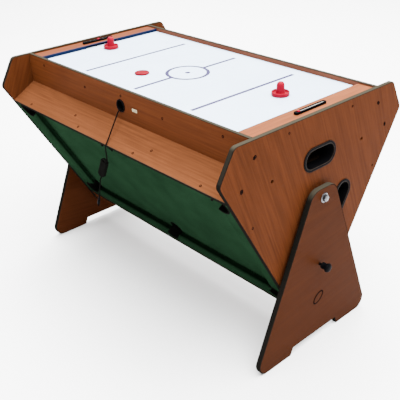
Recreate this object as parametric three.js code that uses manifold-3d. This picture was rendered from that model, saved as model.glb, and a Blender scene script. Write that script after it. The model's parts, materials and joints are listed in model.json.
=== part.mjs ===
// A rotating three-in-one games table: a three-sided drum that turns between two legs.
// One side is an air-hockey table, one a pool table and one a bumper-pool table.
// Millimetres. X runs along the table, Z is up, and the origin is on the floor under the middle.
import * as THREE from "three";
import { mergeVertices } from "three/addons/utils/BufferGeometryUtils.js";
import Module from "manifold-3d";

const wasm = await Module();
wasm.setup();

// ---- driving dimensions ----
const GAP = 0.3; // left between pieces that touch
const DRUM_LENGTH = 1220; // over the two end panels
const PANEL_THICK = 15;
const TRIANGLE_SIDE = 980; // of the end panel, before its corners are cut
const CORNER_CUT = 118; // taken off each side at a corner
const PANEL_CORNER_R = 20;
const TOP_HEIGHT = 858; // of the playing side that faces up
const APRON_INSET = 190; // from a triangle corner to a side rail, along the triangle's side
const RAIL_THICK = 12;
const TRIM_THICK = 1.5; // edge moulding, proud of the board

const LEG_GAP = 10; // between an end panel and its leg
const LEG_THICK = 18;
const LEG_FOOT_HALF = 302;
const LEG_TOP_HALF = 54;
const LEG_TOP_ABOVE_PIVOT = 36;
const LEG_TOP_R = 45;
const LEG_FOOT_R = 38;
const NOTCH_HALF = 128;
const NOTCH_HEIGHT = 29;
const NOTCH_SLANT = 12;

const BOLT_R = 8;
const BORE_R = 8.6;
const LOCK_RADIUS = 252; // from the pivot to the lock holes
const LOCK_PIN_R = 4.5;
const LOCK_HOLE_R = 6;

const END_BLOCK = 65; // width of the fixed strip across each end of a playing side
const SURFACE_DROP = 16; // hockey surface below the rail tops
const SURFACE_THICK = 4;
const STRIP_DROP = 5; // top of the hockey end strips below the rail tops
const GOAL_HALF = 78;
const GOAL_HEIGHT = 8;

const BED_DROP = 34; // cloth beds below the rail tops
const BED_THICK = 12;
const CUSHION_DROP = 4;
const CUSHION_WIDTH = 24; // along the long sides
const POCKET_R = 31;
const POCKET_WALL = 2.7;
const POCKET_DEPTH = 88; // from the rail tops to the underside of a pocket cup
const POCKET_X = 548;
const POCKET_Y = 254;

const BUMPER_R = 21;
const BUMPER_HEIGHT = 27;
const POST_R = 8;
const BALL_HOLE_X = 470;
const BALL_HOLE_R = 24;

const RETURN_HEIGHT = 134.6; // centre of a return opening above the pivot, in its side's frame
const RIB_X = 217;
const RIB_THICK = 16;

// ---- derived places ----
const PIVOT_ABOVE_SIDE = TRIANGLE_SIDE / (2 * Math.sqrt(3));
const PIVOT_Z = TOP_HEIGHT - PIVOT_ABOVE_SIDE;
const RIM = PIVOT_ABOVE_SIDE; // height of the rail tops above the pivot
const CUT_DISTANCE = 2 * PIVOT_ABOVE_SIDE - CORNER_CUT * Math.cos(Math.PI / 6);
const PANEL_OUT = DRUM_LENGTH / 2;
const PANEL_IN = PANEL_OUT - PANEL_THICK;
const INSIDE = PANEL_IN - GAP; // half length of everything between the panels
const RAIL_OUT = TRIANGLE_SIDE / 2 - APRON_INSET;
const RAIL_IN = RAIL_OUT - RAIL_THICK;
const TRAY_HALF = RAIL_IN - GAP; // half width of everything between the rails
const LEG_IN = PANEL_OUT + LEG_GAP;
const LEG_OUT = LEG_IN + LEG_THICK;
const PLAY_END = PANEL_IN - END_BLOCK;
const NOSE = RAIL_IN - CUSHION_WIDTH;
const SURFACE = RIM - SURFACE_DROP;
const SURFACE_UNDER = SURFACE - SURFACE_THICK - GAP;
const BED = RIM - BED_DROP;
const BED_UNDER = BED - BED_THICK;
const TAN30 = Math.tan(Math.PI / 6);
const SIDE_TURN = (2 * Math.PI) / 3;

// ---- solids ----
function solidOf(geometry) {
  const plain = geometry.index ? geometry.toNonIndexed() : geometry.clone();
  const bare = new THREE.BufferGeometry();
  bare.setAttribute("position", plain.getAttribute("position"));
  const merged = mergeVertices(bare, 1e-3);
  const vertProperties = merged.attributes.position.array;
  const triVerts = new Uint32Array(merged.index.array);
  return new wasm.Manifold(new wasm.Mesh({ numProp: 3, vertProperties, triVerts }));
}

function geometryOf(solid) {
  const { vertProperties, triVerts } = solid.getMesh();
  const geometry = new THREE.BufferGeometry();
  geometry.setAttribute("position", new THREE.BufferAttribute(vertProperties, 3));
  geometry.setIndex(new THREE.BufferAttribute(triVerts, 1));
  return geometry;
}

const cut = (base, ...tools) => tools.reduce((solid, tool) => solid.subtract(tool), base);
const join = (...solids) => solids.reduce((all, solid) => all.add(solid));

// A box between two opposite corners.
function box([x0, y0, z0], [x1, y1, z1]) {
  const geometry = new THREE.BoxGeometry(x1 - x0, y1 - y0, z1 - z0);
  geometry.translate((x0 + x1) / 2, (y0 + y1) / 2, (z0 + z1) / 2);
  return solidOf(geometry);
}

// A rod along an axis, from one end to the other, centred on two cross coordinates.
function rod(axis, from, to, [a, b], radius, sides = radius < 10 ? 12 : 24) {
  const geometry = new THREE.CylinderGeometry(radius, radius, to - from, sides);
  const middle = (from + to) / 2;
  if (axis === "x") geometry.rotateZ(-Math.PI / 2).translate(middle, a, b);
  if (axis === "y") geometry.translate(a, middle, b);
  if (axis === "z") geometry.rotateX(Math.PI / 2).translate(a, b, middle);
  return solidOf(geometry);
}

// A turned piece about an axis: its profile is [radius, place along the axis] pairs.
function turned(axis, profile, sides = 24) {
  const points = profile.map(([radius, along]) => new THREE.Vector2(radius, along));
  const geometry = new THREE.LatheGeometry(points, sides);
  if (axis === "x") geometry.rotateZ(-Math.PI / 2);
  if (axis === "z") geometry.rotateX(Math.PI / 2);
  return solidOf(geometry);
}

// An outline with rounded corners, from counterclockwise [a, b, radius] corners.
function outline(corners) {
  const shape = new THREE.Shape();
  corners.forEach(([a, b, radius], i) => {
    const corner = new THREE.Vector2(a, b);
    const [a0, b0] = corners.at(i - 1);
    const [a1, b1] = corners[(i + 1) % corners.length];
    const back = new THREE.Vector2(a0 - a, b0 - b).normalize();
    const ahead = new THREE.Vector2(a1 - a, b1 - b).normalize();
    const half = Math.acos(back.dot(ahead)) / 2;
    if (radius > 0) {
      const inward = back.clone().add(ahead).normalize();
      const centre = corner.clone().addScaledVector(inward, radius / Math.sin(half));
      const reach = radius / Math.tan(half);
      const start = corner.clone().addScaledVector(back, reach).sub(centre).angle();
      const end = corner.clone().addScaledVector(ahead, reach).sub(centre).angle();
      shape.absarc(centre.x, centre.y, radius, start, end, back.cross(ahead) > 0);
    } else if (i === 0) shape.moveTo(a, b);
    else shape.lineTo(a, b);
  });
  return shape;
}

// The same corners with every edge moved outward.
function grown(corners, distance) {
  const edges = corners.map(([a, b], i) => {
    const [a1, b1] = corners[(i + 1) % corners.length];
    const length = Math.hypot(a1 - a, b1 - b);
    const normal = [(b1 - b) / length, (a - a1) / length];
    return { normal, offset: normal[0] * a + normal[1] * b + distance };
  });
  return corners.map(([, , radius], i) => {
    const before = edges.at(i - 1);
    const after = edges[i];
    const [p, q] = before.normal;
    const [r, s] = after.normal;
    const cross = p * s - q * r;
    const a = (before.offset * s - after.offset * q) / cross;
    const b = (p * after.offset - r * before.offset) / cross;
    return [a, b, radius > 0 ? radius + Math.sign(cross) * distance : 0];
  });
}

// A plate with its outline in Y and Z, thick along X.
function plateX(shape, from, to, curveSegments = 3) {
  const settings = { depth: to - from, bevelEnabled: false, curveSegments };
  const geometry = new THREE.ExtrudeGeometry(shape, settings);
  const yzx = new THREE.Matrix4().makeBasis(
    new THREE.Vector3(0, 1, 0),
    new THREE.Vector3(0, 0, 1),
    new THREE.Vector3(1, 0, 0),
  );
  return solidOf(geometry.applyMatrix4(yzx).translate(from, 0, 0));
}

// A board with its outline in X and Y, thick along Z.
function boardZ(shape, from, to, curveSegments = 3) {
  const settings = { depth: to - from, bevelEnabled: false, curveSegments };
  return solidOf(new THREE.ExtrudeGeometry(shape, settings).translate(0, 0, from));
}

// A slot with round ends, long across Y.
function stadium(width, height, centreHeight) {
  const reach = (width - height) / 2;
  const shape = new THREE.Shape();
  shape.absarc(reach, centreHeight, height / 2, -Math.PI / 2, Math.PI / 2);
  shape.absarc(-reach, centreHeight, height / 2, Math.PI / 2, -Math.PI / 2);
  return shape;
}

// ---- materials ----
const finish = (color, roughness, metalness = 0) =>
  new THREE.MeshStandardMaterial({ color, roughness, metalness });
const wood = finish(0x8c4e30, 0.45);
const palewood = finish(0xd79673, 0.45);
const edging = finish(0x1c1a17, 0.5);
const blackPlastic = finish(0x141414, 0.4);
const steel = finish(0xb9b9bb, 0.3, 1);
const white = finish(0xeef2f6, 0.25);
const rawBoard = finish(0xb59a78, 0.8);
const cloth = finish(0x24402a, 0.95);
const red = finish(0xe61e46, 0.3);
const cream = finish(0xe8dfc8, 0.4);

// ---- assembly ----
const table = new THREE.Group();
const sides = ["hockey", "pool", "bumper"].map((name, i) => {
  const side = new THREE.Group();
  side.position.set(0, 0, PIVOT_Z);
  side.rotation.x = [0, 1, -1][i] * SIDE_TURN;
  table.add(side);
  return { name, side };
});
const [hockey, pool, bumper] = sides.map(({ side }) => side);

function piece(parent, name, solid, material) {
  const mesh = new THREE.Mesh(geometryOf(solid), material);
  mesh.name = name;
  parent.add(mesh);
  return mesh;
}

// Both ends of the table are alike: near is at +X, far at -X, turned half round about Z.
const ENDS = [
  ["near", 0],
  ["far", Math.PI],
];
function pieceAtEnds(parent, name, solid, material) {
  for (const [end, turn] of ENDS) {
    piece(parent, `${name}_${end}`, solid, material).rotation.z = turn;
  }
}

// ---- legs, pivots and locks ----
const legCorners = [
  [LEG_FOOT_HALF, 0, LEG_FOOT_R],
  [LEG_TOP_HALF, PIVOT_Z + LEG_TOP_ABOVE_PIVOT, LEG_TOP_R],
  [-LEG_TOP_HALF, PIVOT_Z + LEG_TOP_ABOVE_PIVOT, LEG_TOP_R],
  [-LEG_FOOT_HALF, 0, LEG_FOOT_R],
  [-NOTCH_HALF, 0, 0],
  [-NOTCH_HALF + NOTCH_SLANT, NOTCH_HEIGHT, 0],
  [NOTCH_HALF - NOTCH_SLANT, NOTCH_HEIGHT, 0],
  [NOTCH_HALF, 0, 0],
];
const lockZ = PIVOT_Z - LOCK_RADIUS;

function legBoard() {
  const board = plateX(outline(legCorners), LEG_IN, LEG_OUT);
  const pivotBore = rod("x", LEG_IN - 1, LEG_OUT + 1, [0, PIVOT_Z], BORE_R);
  const lockBore = rod("x", LEG_IN - 1, LEG_OUT + 1, [0, lockZ], LOCK_PIN_R + GAP);
  return cut(board, pivotBore, lockBore);
}

// Edge moulding over the leg, from the bottom of one foot over the top to the other.
function legTrim() {
  const outer = plateX(outline(grown(legCorners, GAP + TRIM_THICK)), LEG_IN, LEG_OUT);
  const inner = plateX(outline(grown(legCorners, GAP)), LEG_IN - 1, LEG_OUT + 1);
  const underFeet = box([LEG_IN - 1, -400, -20], [LEG_OUT + 1, 400, 0]);
  const notch = box([LEG_IN - 1, -200, -20], [LEG_OUT + 1, 200, NOTCH_HEIGHT + 20]);
  return cut(outer, inner, underFeet, notch);
}

const WASHER_R = 24;
const HEAD_R = 12;
const FLANGE_R = 17;
const NUT_THICK = 8;

// A bolt with a washer face under its hex head, and its nut inside the end panel.
function pivotBolt() {
  const shank = rod("x", PANEL_IN - NUT_THICK - GAP, LEG_OUT + 4, [0, PIVOT_Z], BOLT_R);
  const face = rod("x", LEG_OUT + GAP, LEG_OUT + 2.5, [0, PIVOT_Z], FLANGE_R);
  const head = rod("x", LEG_OUT + 2, LEG_OUT + 11, [0, PIVOT_Z], HEAD_R, 6);
  const nut = rod("x", PANEL_IN - NUT_THICK - GAP, PANEL_IN - GAP, [0, PIVOT_Z], HEAD_R, 6);
  return join(shank, face, head, nut);
}

// A spacer ring that keeps the end panel clear of the leg.
function pivotSpacer() {
  const disc = rod("x", PANEL_OUT + GAP, LEG_IN - GAP, [0, PIVOT_Z], WASHER_R);
  return cut(disc, rod("x", PANEL_OUT, LEG_IN, [0, PIVOT_Z], BORE_R));
}

const KNOB_R = 16;
const PIN_TRAVEL = 12; // how far the drawn knob goes in to lock the drum

// A pull knob on its steel pin, drawn out as when the drum is free to turn.
function lockKnob() {
  const faceX = LEG_OUT + PIN_TRAVEL + GAP;
  const profile = [
    [0, PANEL_OUT + 1],
    [LOCK_PIN_R - 1, PANEL_OUT + 1],
    [LOCK_PIN_R, PANEL_OUT + 2],
    [LOCK_PIN_R, faceX],
    [KNOB_R * 0.7, faceX],
    [KNOB_R * 0.72, faceX + 8],
    [KNOB_R * 0.66, faceX + 13],
    [KNOB_R * 0.94, faceX + 18],
    [KNOB_R, faceX + 22],
    [KNOB_R * 0.94, faceX + 27],
    [KNOB_R * 0.6, faceX + 30],
    [0, faceX + 31],
  ];
  return turned("x", profile, 16).translate([0, 0, lockZ]);
}

pieceAtEnds(table, "leg", legBoard(), wood);
pieceAtEnds(table, "leg_edge_moulding", legTrim(), edging);
pieceAtEnds(table, "pivot_bolt", pivotBolt(), steel);
pieceAtEnds(table, "pivot_spacer", pivotSpacer(), blackPlastic);
pieceAtEnds(table, "lock_knob", lockKnob(), blackPlastic);

// ---- end panels ----
// The cut triangle as corners about the pivot, each side and each cut at its own distance.
const panelCorners = [0, 1, 2].flatMap((i) => {
  const sideAngle = Math.PI / 2 + i * SIDE_TURN;
  return [0, 1].map((after) => {
    // a side and the cut before or after it meet at this corner
    const cutAngle = sideAngle + (after ? 1 : -1) * (SIDE_TURN / 2);
    const along = (CUT_DISTANCE - RIM * 0.5) / Math.sin(SIDE_TURN / 2);
    const turn = Math.sign(Math.sin(cutAngle - sideAngle));
    const a = RIM * Math.cos(sideAngle) - turn * along * Math.sin(sideAngle);
    const b = RIM * Math.sin(sideAngle) + turn * along * Math.cos(sideAngle);
    return [a, b, PANEL_CORNER_R];
  });
});

const BEZEL = { width: 155, height: 81, lip: 3 };
const RETURN_HOLE = { width: 142, height: 68 };
const RETURN_OPEN = { width: 137, height: 63 };
const returnOutline = ({ width, height }, grow = 0) =>
  stadium(width + grow, height + grow, RETURN_HEIGHT);

// Turns a solid about the pivot line to another playing side.
const turnedTo = (solid, i) => solid.rotate([(i * SIDE_TURN * 180) / Math.PI, 0, 0]);

function endPanel() {
  let panel = plateX(outline(panelCorners), PANEL_IN, PANEL_OUT);
  const hole = plateX(returnOutline(RETURN_HOLE), PANEL_IN - 1, PANEL_OUT + 1, 6);
  const lockHole = rod("x", PANEL_IN - 1, PANEL_OUT + 1, [0, -LOCK_RADIUS], LOCK_HOLE_R);
  panel = cut(panel, rod("x", PANEL_IN - 1, PANEL_OUT + 1, [0, 0], BORE_R));
  for (const i of [0, 1, -1]) panel = cut(panel, turnedTo(lockHole, i));
  return { panel, hole };
}

function panelTrim() {
  const outer = plateX(outline(grown(panelCorners, GAP + TRIM_THICK)), PANEL_IN, PANEL_OUT);
  const inner = plateX(outline(grown(panelCorners, GAP)), PANEL_IN - 1, PANEL_OUT + 1);
  return cut(outer, inner);
}

// Hockey and bumper pool have return openings, pool has none.
const { panel, hole } = endPanel();
const nearPanel = cut(panel, hole, turnedTo(hole, -1));
const farPanel = cut(panel, hole, turnedTo(hole, 1));
piece(hockey, "end_panel_near", nearPanel, wood);
piece(hockey, "end_panel_far", farPanel, wood).rotation.z = Math.PI;
pieceAtEnds(hockey, "panel_edge_moulding", panelTrim(), edging);

// ---- side rails ----
// Each rail is mitred at the bottom against the rail of the next side.
const mitre = (y) => y * TAN30 + GAP / Math.sqrt(3);
const railProfile = [
  [RAIL_IN, mitre(RAIL_IN), 0],
  [RAIL_OUT, mitre(RAIL_OUT), 0],
  [RAIL_OUT, RIM, 0],
  [RAIL_IN, RIM, 0],
];
const GROMMET = { x: -3, below: 60.4, r: 22.5, throat: 19 };
const SWITCH = { x: 74, below: 58.3, width: 26, height: 10.5 };
const grommetZ = RIM - GROMMET.below;
const switchZ = RIM - SWITCH.below;

for (const { name, side } of sides) {
  const plain = plateX(outline(railProfile), -INSIDE, INSIDE);
  const { x, throat } = GROMMET;
  const bore = rod("y", RAIL_IN - 1, RAIL_OUT + 1, [-x, grommetZ], throat + GAP);
  const reach = SWITCH.width / 2 - 2;
  const rise = SWITCH.height / 2 - 1;
  const window = box(
    [-SWITCH.x - reach - GAP, RAIL_IN - 1, switchZ - rise - GAP],
    [-SWITCH.x + reach + GAP, RAIL_OUT + 1, switchZ + rise + GAP],
  );
  const drilled = name === "hockey" ? cut(plain, bore, window) : plain;
  piece(side, `${name}_rail_left`, drilled, wood).rotation.z = Math.PI;
  piece(side, `${name}_rail_right`, plain, wood);
}

// ---- inner ribs ----
// A board across the drum under each third of its length, screwed to the six rails.
const AIR_BOX = { length: 480, width: 250, top: SURFACE_UNDER, depth: 26, wall: 6 };
const RIB_HOLE_R = 105;

function rib() {
  const under = BED_UNDER - GAP;
  let board = null;
  for (const i of [0, 1, -1]) {
    const top = i === 0 ? SURFACE_UNDER : under;
    const half = TRAY_HALF - GAP;
    const sector = outline([
      [0, 0, 0],
      [half, mitre(half) - GAP, 0],
      [half, top, 0],
      [-half, top, 0],
      [-half, mitre(half) - GAP, 0],
    ]);
    const wedge = turnedTo(plateX(sector, RIB_X - RIB_THICK / 2, RIB_X + RIB_THICK / 2), i);
    board = board ? board.add(wedge) : wedge;
  }
  return cut(board, rod("x", 0, 2 * RIB_X, [0, 0], RIB_HOLE_R));
}

// ---- hockey side ----
function playfield() {
  const board = box([-INSIDE, -TRAY_HALF, SURFACE - SURFACE_THICK], [INSIDE, TRAY_HALF, SURFACE]);
  const goal = box(
    [PLAY_END + 10, -GOAL_HALF, SURFACE - 10],
    [PANEL_IN - 6, GOAL_HALF, SURFACE + 1],
  );
  return cut(board, goal, goal.rotate([0, 0, 180]));
}

function endStrip() {
  const base = SURFACE + GAP;
  const strip = box([PLAY_END, -TRAY_HALF, base], [INSIDE, TRAY_HALF, RIM - STRIP_DROP]);
  const mouth = box(
    [PLAY_END - 1, -GOAL_HALF, base - 1],
    [PANEL_IN - 6, GOAL_HALF, base + GOAL_HEIGHT],
  );
  return cut(strip, mouth);
}

// A moulded return cup: an oval bezel on the end panel and an open-topped chute behind it.
const CHUTE = { half: 80, floor: 98, wall: 2.5 };
function returnCup(innerX, top) {
  const { half, floor, wall } = CHUTE;
  const bezel = plateX(returnOutline(BEZEL), PANEL_OUT + GAP, PANEL_OUT + BEZEL.lip, 6);
  const neck = plateX(returnOutline(RETURN_HOLE, -1), PANEL_IN - 2, PANEL_OUT + 1, 6);
  const shell = box([innerX, -half, floor], [INSIDE, half, top]);
  const hollow = box(
    [innerX + wall, -half + wall, floor + wall],
    [INSIDE - wall, half - wall, top + 1],
  );
  const mouth = plateX(returnOutline(RETURN_OPEN), PANEL_IN - 20, PANEL_OUT + 9, 6);
  return cut(join(bezel, neck, shell), hollow, mouth);
}

// The two ribs with the air box let into them: an open tray that the playfield closes.
function innerFrame() {
  const { length, width, top, depth, wall } = AIR_BOX;
  const outer = box([-length, -width, top - depth], [length, width, top]);
  const inner = box(
    [wall - length, wall - width, top - depth + wall],
    [length - wall, width - wall, top + 1],
  );
  const frame = join(rib(), rib().translate([-2 * RIB_X, 0, 0]), outer);
  return cut(frame, inner, rod("z", 0, top, [BLOWER.x, 0], BLOWER.r - 8));
}

const BLOWER = { x: 110, r: 65, height: 56, wall: 3 };
const blowerTop = AIR_BOX.top - AIR_BOX.depth - GAP;
const blowerFloor = blowerTop - BLOWER.height;
const MOTOR = { r: 18, height: 24, shaft: 3 };

// An open-topped drum under the air box, with its motor on the floor and air inlets round it.
function blowerHousing() {
  const { r, wall } = BLOWER;
  const motorTop = blowerFloor + wall + MOTOR.height;
  const profile = [
    [0, blowerFloor],
    [r, blowerFloor],
    [r, blowerTop],
    [r - wall, blowerTop],
    [r - wall, blowerFloor + wall],
    [MOTOR.r, blowerFloor + wall],
    [MOTOR.r, motorTop],
    [MOTOR.shaft, motorTop],
    [MOTOR.shaft, motorTop + 16],
    [0, motorTop + 16],
  ];
  let housing = turned("z", profile);
  const inlet = rod("z", blowerFloor - 1, blowerFloor + wall + 1, [40, 0], 14, 12);
  for (let i = 0; i < 4; i += 1) housing = cut(housing, inlet.rotate([0, 0, 90 * i]));
  return housing.translate([BLOWER.x, 0, 0]);
}

// A hub and top disc on the motor shaft, with straight blades hanging round the motor.
function impeller() {
  const motorTop = blowerFloor + BLOWER.wall + MOTOR.height;
  const discBottom = motorTop + 4;
  const profile = [
    [MOTOR.shaft + 0.4, discBottom],
    [54, discBottom],
    [54, discBottom + 3],
    [12, discBottom + 3],
    [10, discBottom + 11],
    [MOTOR.shaft + 0.4, discBottom + 11],
    [MOTOR.shaft + 0.4, discBottom],
  ];
  const blade = box([26, -1, blowerFloor + BLOWER.wall + 4], [52, 1, discBottom + 1]);
  const blades = Array.from({ length: 8 }, (_, i) => blade.rotate([0, 0, 45 * i]));
  return join(turned("z", profile), ...blades).translate([BLOWER.x, 0, 0]);
}

// A scorer lies across an end strip: a grooved bar with one sliding bead.
const SCORER = { half: 71.5, width: 15, height: 8, groove: 6, grooveHalf: 62, x: 562 };
const BEAD_HALF = 5;
const scorerBase = RIM - STRIP_DROP + GAP;
function scorerBar() {
  const { half, width, height, groove, grooveHalf, x } = SCORER;
  const bar = box([x - width / 2, -half, scorerBase], [x + width / 2, half, scorerBase + height]);
  const slot = box(
    [x - groove / 2, -grooveHalf, scorerBase + 2],
    [x + groove / 2, grooveHalf, scorerBase + height + 1],
  );
  return cut(bar, slot);
}

function scorerBead() {
  const { groove, height, x } = SCORER;
  const stem = box(
    [x - groove / 2 + GAP, -BEAD_HALF, scorerBase + 2 + GAP],
    [x + groove / 2 - GAP, BEAD_HALF, scorerBase + height + 1],
  );
  const head = box(
    [x - 5.5, -BEAD_HALF, scorerBase + height + GAP],
    [x + 5.5, BEAD_HALF, scorerBase + height + 3.5],
  );
  return join(stem, head);
}

// A pusher is a shallow dish with a round grip standing in its middle.
const PUSHER_R = 30;
function pusher() {
  const profile = [
    [0, 0],
    [PUSHER_R, 0],
    [PUSHER_R, 12],
    [PUSHER_R - 3, 12],
    [PUSHER_R - 6, 7],
    [15, 7],
    [12, 14],
    [11.5, 30],
    [13, 37],
    [9, 44],
    [0, 46],
  ];
  return turned("z", profile).translate([0, 0, SURFACE + GAP]);
}

function puck() {
  const profile = [
    [0, 0],
    [25.5, 0],
    [26.5, 1],
    [26.5, 4.5],
    [25.5, 5.5],
    [0, 5.5],
  ];
  return turned("z", profile).translate([0, 0, SURFACE + GAP]);
}

piece(hockey, "hockey_playfield", playfield(), white);
pieceAtEnds(hockey, "hockey_end_strip", endStrip(), palewood);
const puckDrop = PLAY_END + 5;
pieceAtEnds(hockey, "puck_return_cup", returnCup(puckDrop, SURFACE_UNDER), blackPlastic);
piece(hockey, "inner_frame", innerFrame(), rawBoard);
piece(hockey, "blower_housing", blowerHousing(), blackPlastic);
piece(hockey, "blower_impeller", impeller(), blackPlastic);
pieceAtEnds(hockey, "scorer_bar", scorerBar(), blackPlastic);
const NEAR_BEAD_Y = -56;
const FAR_BEAD_Y = 4;
piece(hockey, "scorer_bead_near", scorerBead(), red).position.y = NEAR_BEAD_Y;
const farBead = piece(hockey, "scorer_bead_far", scorerBead(), red);
farBead.rotation.z = Math.PI;
farBead.position.y = FAR_BEAD_Y;
piece(hockey, "pusher_near", pusher(), red).position.set(397, 51, 0);
piece(hockey, "pusher_far", pusher(), red).position.set(-465, -2, 0);
piece(hockey, "puck", puck(), red).position.set(-112, -120, 0);

// ---- switch and cable grommet in the hockey side's left rail ----
function switchBody() {
  const y = -RAIL_OUT;
  const halfW = SWITCH.width / 2;
  const halfH = SWITCH.height / 2;
  const plate = box([-halfW, y - 2, -halfH], [halfW, y - GAP, halfH]);
  const can = box([2 - halfW, y - 1, 1 - halfH], [halfW - 2, y + 20, halfH - 1]);
  const well = box([4 - halfW, y - 3, 2 - halfH], [halfW - 4, y + 10, halfH - 2]);
  return cut(join(plate, can), well).translate([SWITCH.x, 0, switchZ]);
}

// A seesaw key that turns on its middle, drawn with one end pressed.
const ROCKER_TILT = 10;
function rockerKey() {
  const halfW = SWITCH.width / 2 - 4.8;
  const halfH = SWITCH.height / 2 - 2.5;
  const shape = new THREE.Shape();
  shape.moveTo(-halfW, 3.2);
  shape.lineTo(-halfW, -3);
  shape.lineTo(0, -0.8);
  shape.lineTo(halfW, -3);
  shape.lineTo(halfW, 3.2);
  return boardZ(shape, -halfH, halfH)
    .rotate([0, 0, ROCKER_TILT])
    .translate([SWITCH.x, -RAIL_OUT, switchZ]);
}

const CORD_R = 2.25;
const CORD_EXIT = { x: -4, y: -303, z: 782.6 };
function cableGrommet() {
  const y = -RAIL_OUT;
  const flange = rod("y", y - 3, y - GAP, [0, 0], GROMMET.r);
  const throat = rod("y", y - 1, y + RAIL_THICK + 2, [0, 0], GROMMET.throat);
  const hollow = rod("y", y - 1, y + RAIL_THICK + 3, [0, 0], GROMMET.throat - 2);
  const exit = [CORD_EXIT.x - GROMMET.x, CORD_EXIT.z - PIVOT_Z - grommetZ];
  const cableHole = rod("y", y - 4, y, exit, CORD_R + GAP);
  const cup = cut(join(flange, throat), hollow, cableHole);
  return cup.translate([GROMMET.x, 0, grommetZ]);
}
piece(hockey, "switch_body", switchBody(), cream);
piece(hockey, "switch_rocker", rockerKey(), cream);
piece(hockey, "cable_grommet", cableGrommet(), blackPlastic);

// ---- power lead ----
// It leaves the grommet, lies over the edge of the side below, and hangs in a tied hank.
const HANK = { x: 4, y: -402, z: 602.8, length: 82, width: 24, thick: 10, tilt: 25 };
const lead = [
  [-4, -303.3, 782.6],
  [-4, -306.8, 782.4],
  [-3.6, -310.6, 781],
  [-2.4, -315, 777.7],
  [0.8, -322.5, 770.2],
  [7.2, -337.8, 754.9],
  [13.6, -353, 739.7],
  [20, -368.3, 724.5],
  [25.8, -382, 710.8],
  [29, -390, 703.2],
  [31, -395.6, 698.4],
  [32.4, -399.4, 693.2],
  [33, -401.2, 686.5],
  [32.8, -402, 677],
  [31.2, -402, 665.5],
  [28.4, -402, 655.5],
  [24.8, -402, 647],
  [21.7, -402, 640.8],
];
const tail = [
  [-13.7, -402, 564.8],
  [-17.8, -402, 553],
  [-21.8, -402, 538],
  [-26, -402, 522],
  [-30.4, -402, 506],
  [-34.6, -402, 490],
  [-38.4, -402, 475],
];
const PLUG_TILT = 17;

function tube(points, steps) {
  const path = new THREE.CatmullRomCurve3(points.map((p) => new THREE.Vector3(...p)));
  const section = new THREE.Shape();
  section.absarc(0, 0, CORD_R, 0, 2 * Math.PI);
  const settings = { extrudePath: path, steps, curveSegments: 4, bevelEnabled: false };
  return solidOf(new THREE.ExtrudeGeometry(section, settings));
}

function hank() {
  const { x, y, z, length, width, thick, tilt } = HANK;
  const reach = (length - width) / 2;
  const shape = new THREE.Shape();
  shape.absarc(0, reach, width / 2, 0, Math.PI);
  shape.absarc(0, -reach, width / 2, Math.PI, 2 * Math.PI);
  return boardZ(shape, -thick / 2, thick / 2, 6)
    .rotate([90, 0, 0])
    .rotate([0, tilt, 0])
    .translate([x, y, z]);
}

// A low-voltage plug: a tapered strain relief, a round body and a bare metal barrel.
function plug() {
  const profile = [
    [0, 0],
    [3, 0],
    [3.6, -13],
    [5, -15],
    [5, -33],
    [4.4, -34],
    [2.75, -34],
    [2.75, -43],
    [0, -43],
  ];
  const [x, y, z] = tail.at(-1);
  const plugSolid = turned("z", profile.reverse(), 16);
  return plugSolid.rotate([0, PLUG_TILT, 0]).translate([x - 0.1, y, z - GAP]);
}
piece(table, "cord_lead", tube(lead, 20), edging);
piece(table, "cord_hank", hank(), edging);
piece(table, "cord_tail", tube(tail, 6), edging);
piece(table, "cord_plug", plug(), blackPlastic);

// ---- pool side ----
const POCKETS = [
  ["left_near", POCKET_X, -POCKET_Y],
  ["left_middle", 0, -POCKET_Y],
  ["left_far", -POCKET_X, -POCKET_Y],
  ["right_near", POCKET_X, POCKET_Y],
  ["right_middle", 0, POCKET_Y],
  ["right_far", -POCKET_X, POCKET_Y],
];
const playArea = (from, to) => box([-PLAY_END, -NOSE, from], [PLAY_END, NOSE, to]);

function clothBed(holes) {
  const board = box([-INSIDE, -TRAY_HALF, BED_UNDER], [INSIDE, TRAY_HALF, BED]);
  return cut(board, ...holes.map(([x, y, r]) => rod("z", BED_UNDER - 1, BED + 1, [x, y], r)));
}

// The pool cushions stop at the pockets: a strip down each side, and a block at each end.
// A low link behind the middle pocket keeps each strip in one piece.
const CUSHION_BASE = BED + GAP;
const CUSHION_TOP = RIM - CUSHION_DROP;
const POCKET_MOUTH = 18;
const LINK_HEIGHT = 4;
const pocketBites = POCKETS.map(([, x, y]) =>
  rod("z", CUSHION_BASE - 1, CUSHION_TOP + 1, [x, y], POCKET_R),
);
const cushion = (x0, y0, x1, y1) => box([x0, y0, CUSHION_BASE], [x1, y1, CUSHION_TOP]);

function sideCushion() {
  const reach = POCKET_X - POCKET_MOUTH;
  const mouth = box(
    [-POCKET_MOUTH, POCKET_Y, CUSHION_BASE + LINK_HEIGHT],
    [POCKET_MOUTH, INSIDE, CUSHION_TOP + 1],
  );
  return cut(cushion(-reach, NOSE, reach, TRAY_HALF), mouth, ...pocketBites);
}

function endCushion() {
  const reach = POCKET_Y - POCKET_MOUTH;
  const front = cushion(PLAY_END, -reach, INSIDE, reach);
  const back = cushion(POCKET_X + POCKET_MOUTH, -TRAY_HALF, INSIDE, TRAY_HALF);
  return cut(join(front, back), ...pocketBites);
}

// A pocket is a cup below the bed, with a wall round its back up to the cushion top.
function pocket(x, y) {
  const outer = POCKET_R - GAP;
  const floor = RIM - POCKET_DEPTH;
  const top = RIM - CUSHION_DROP + 2;
  const cup = rod("z", floor, top, [x, y], outer);
  const hollow = rod("z", floor + POCKET_WALL, top + 1, [x, y], outer - POCKET_WALL);
  return cut(cup, hollow, playArea(BED - GAP, top + 1));
}

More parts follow.
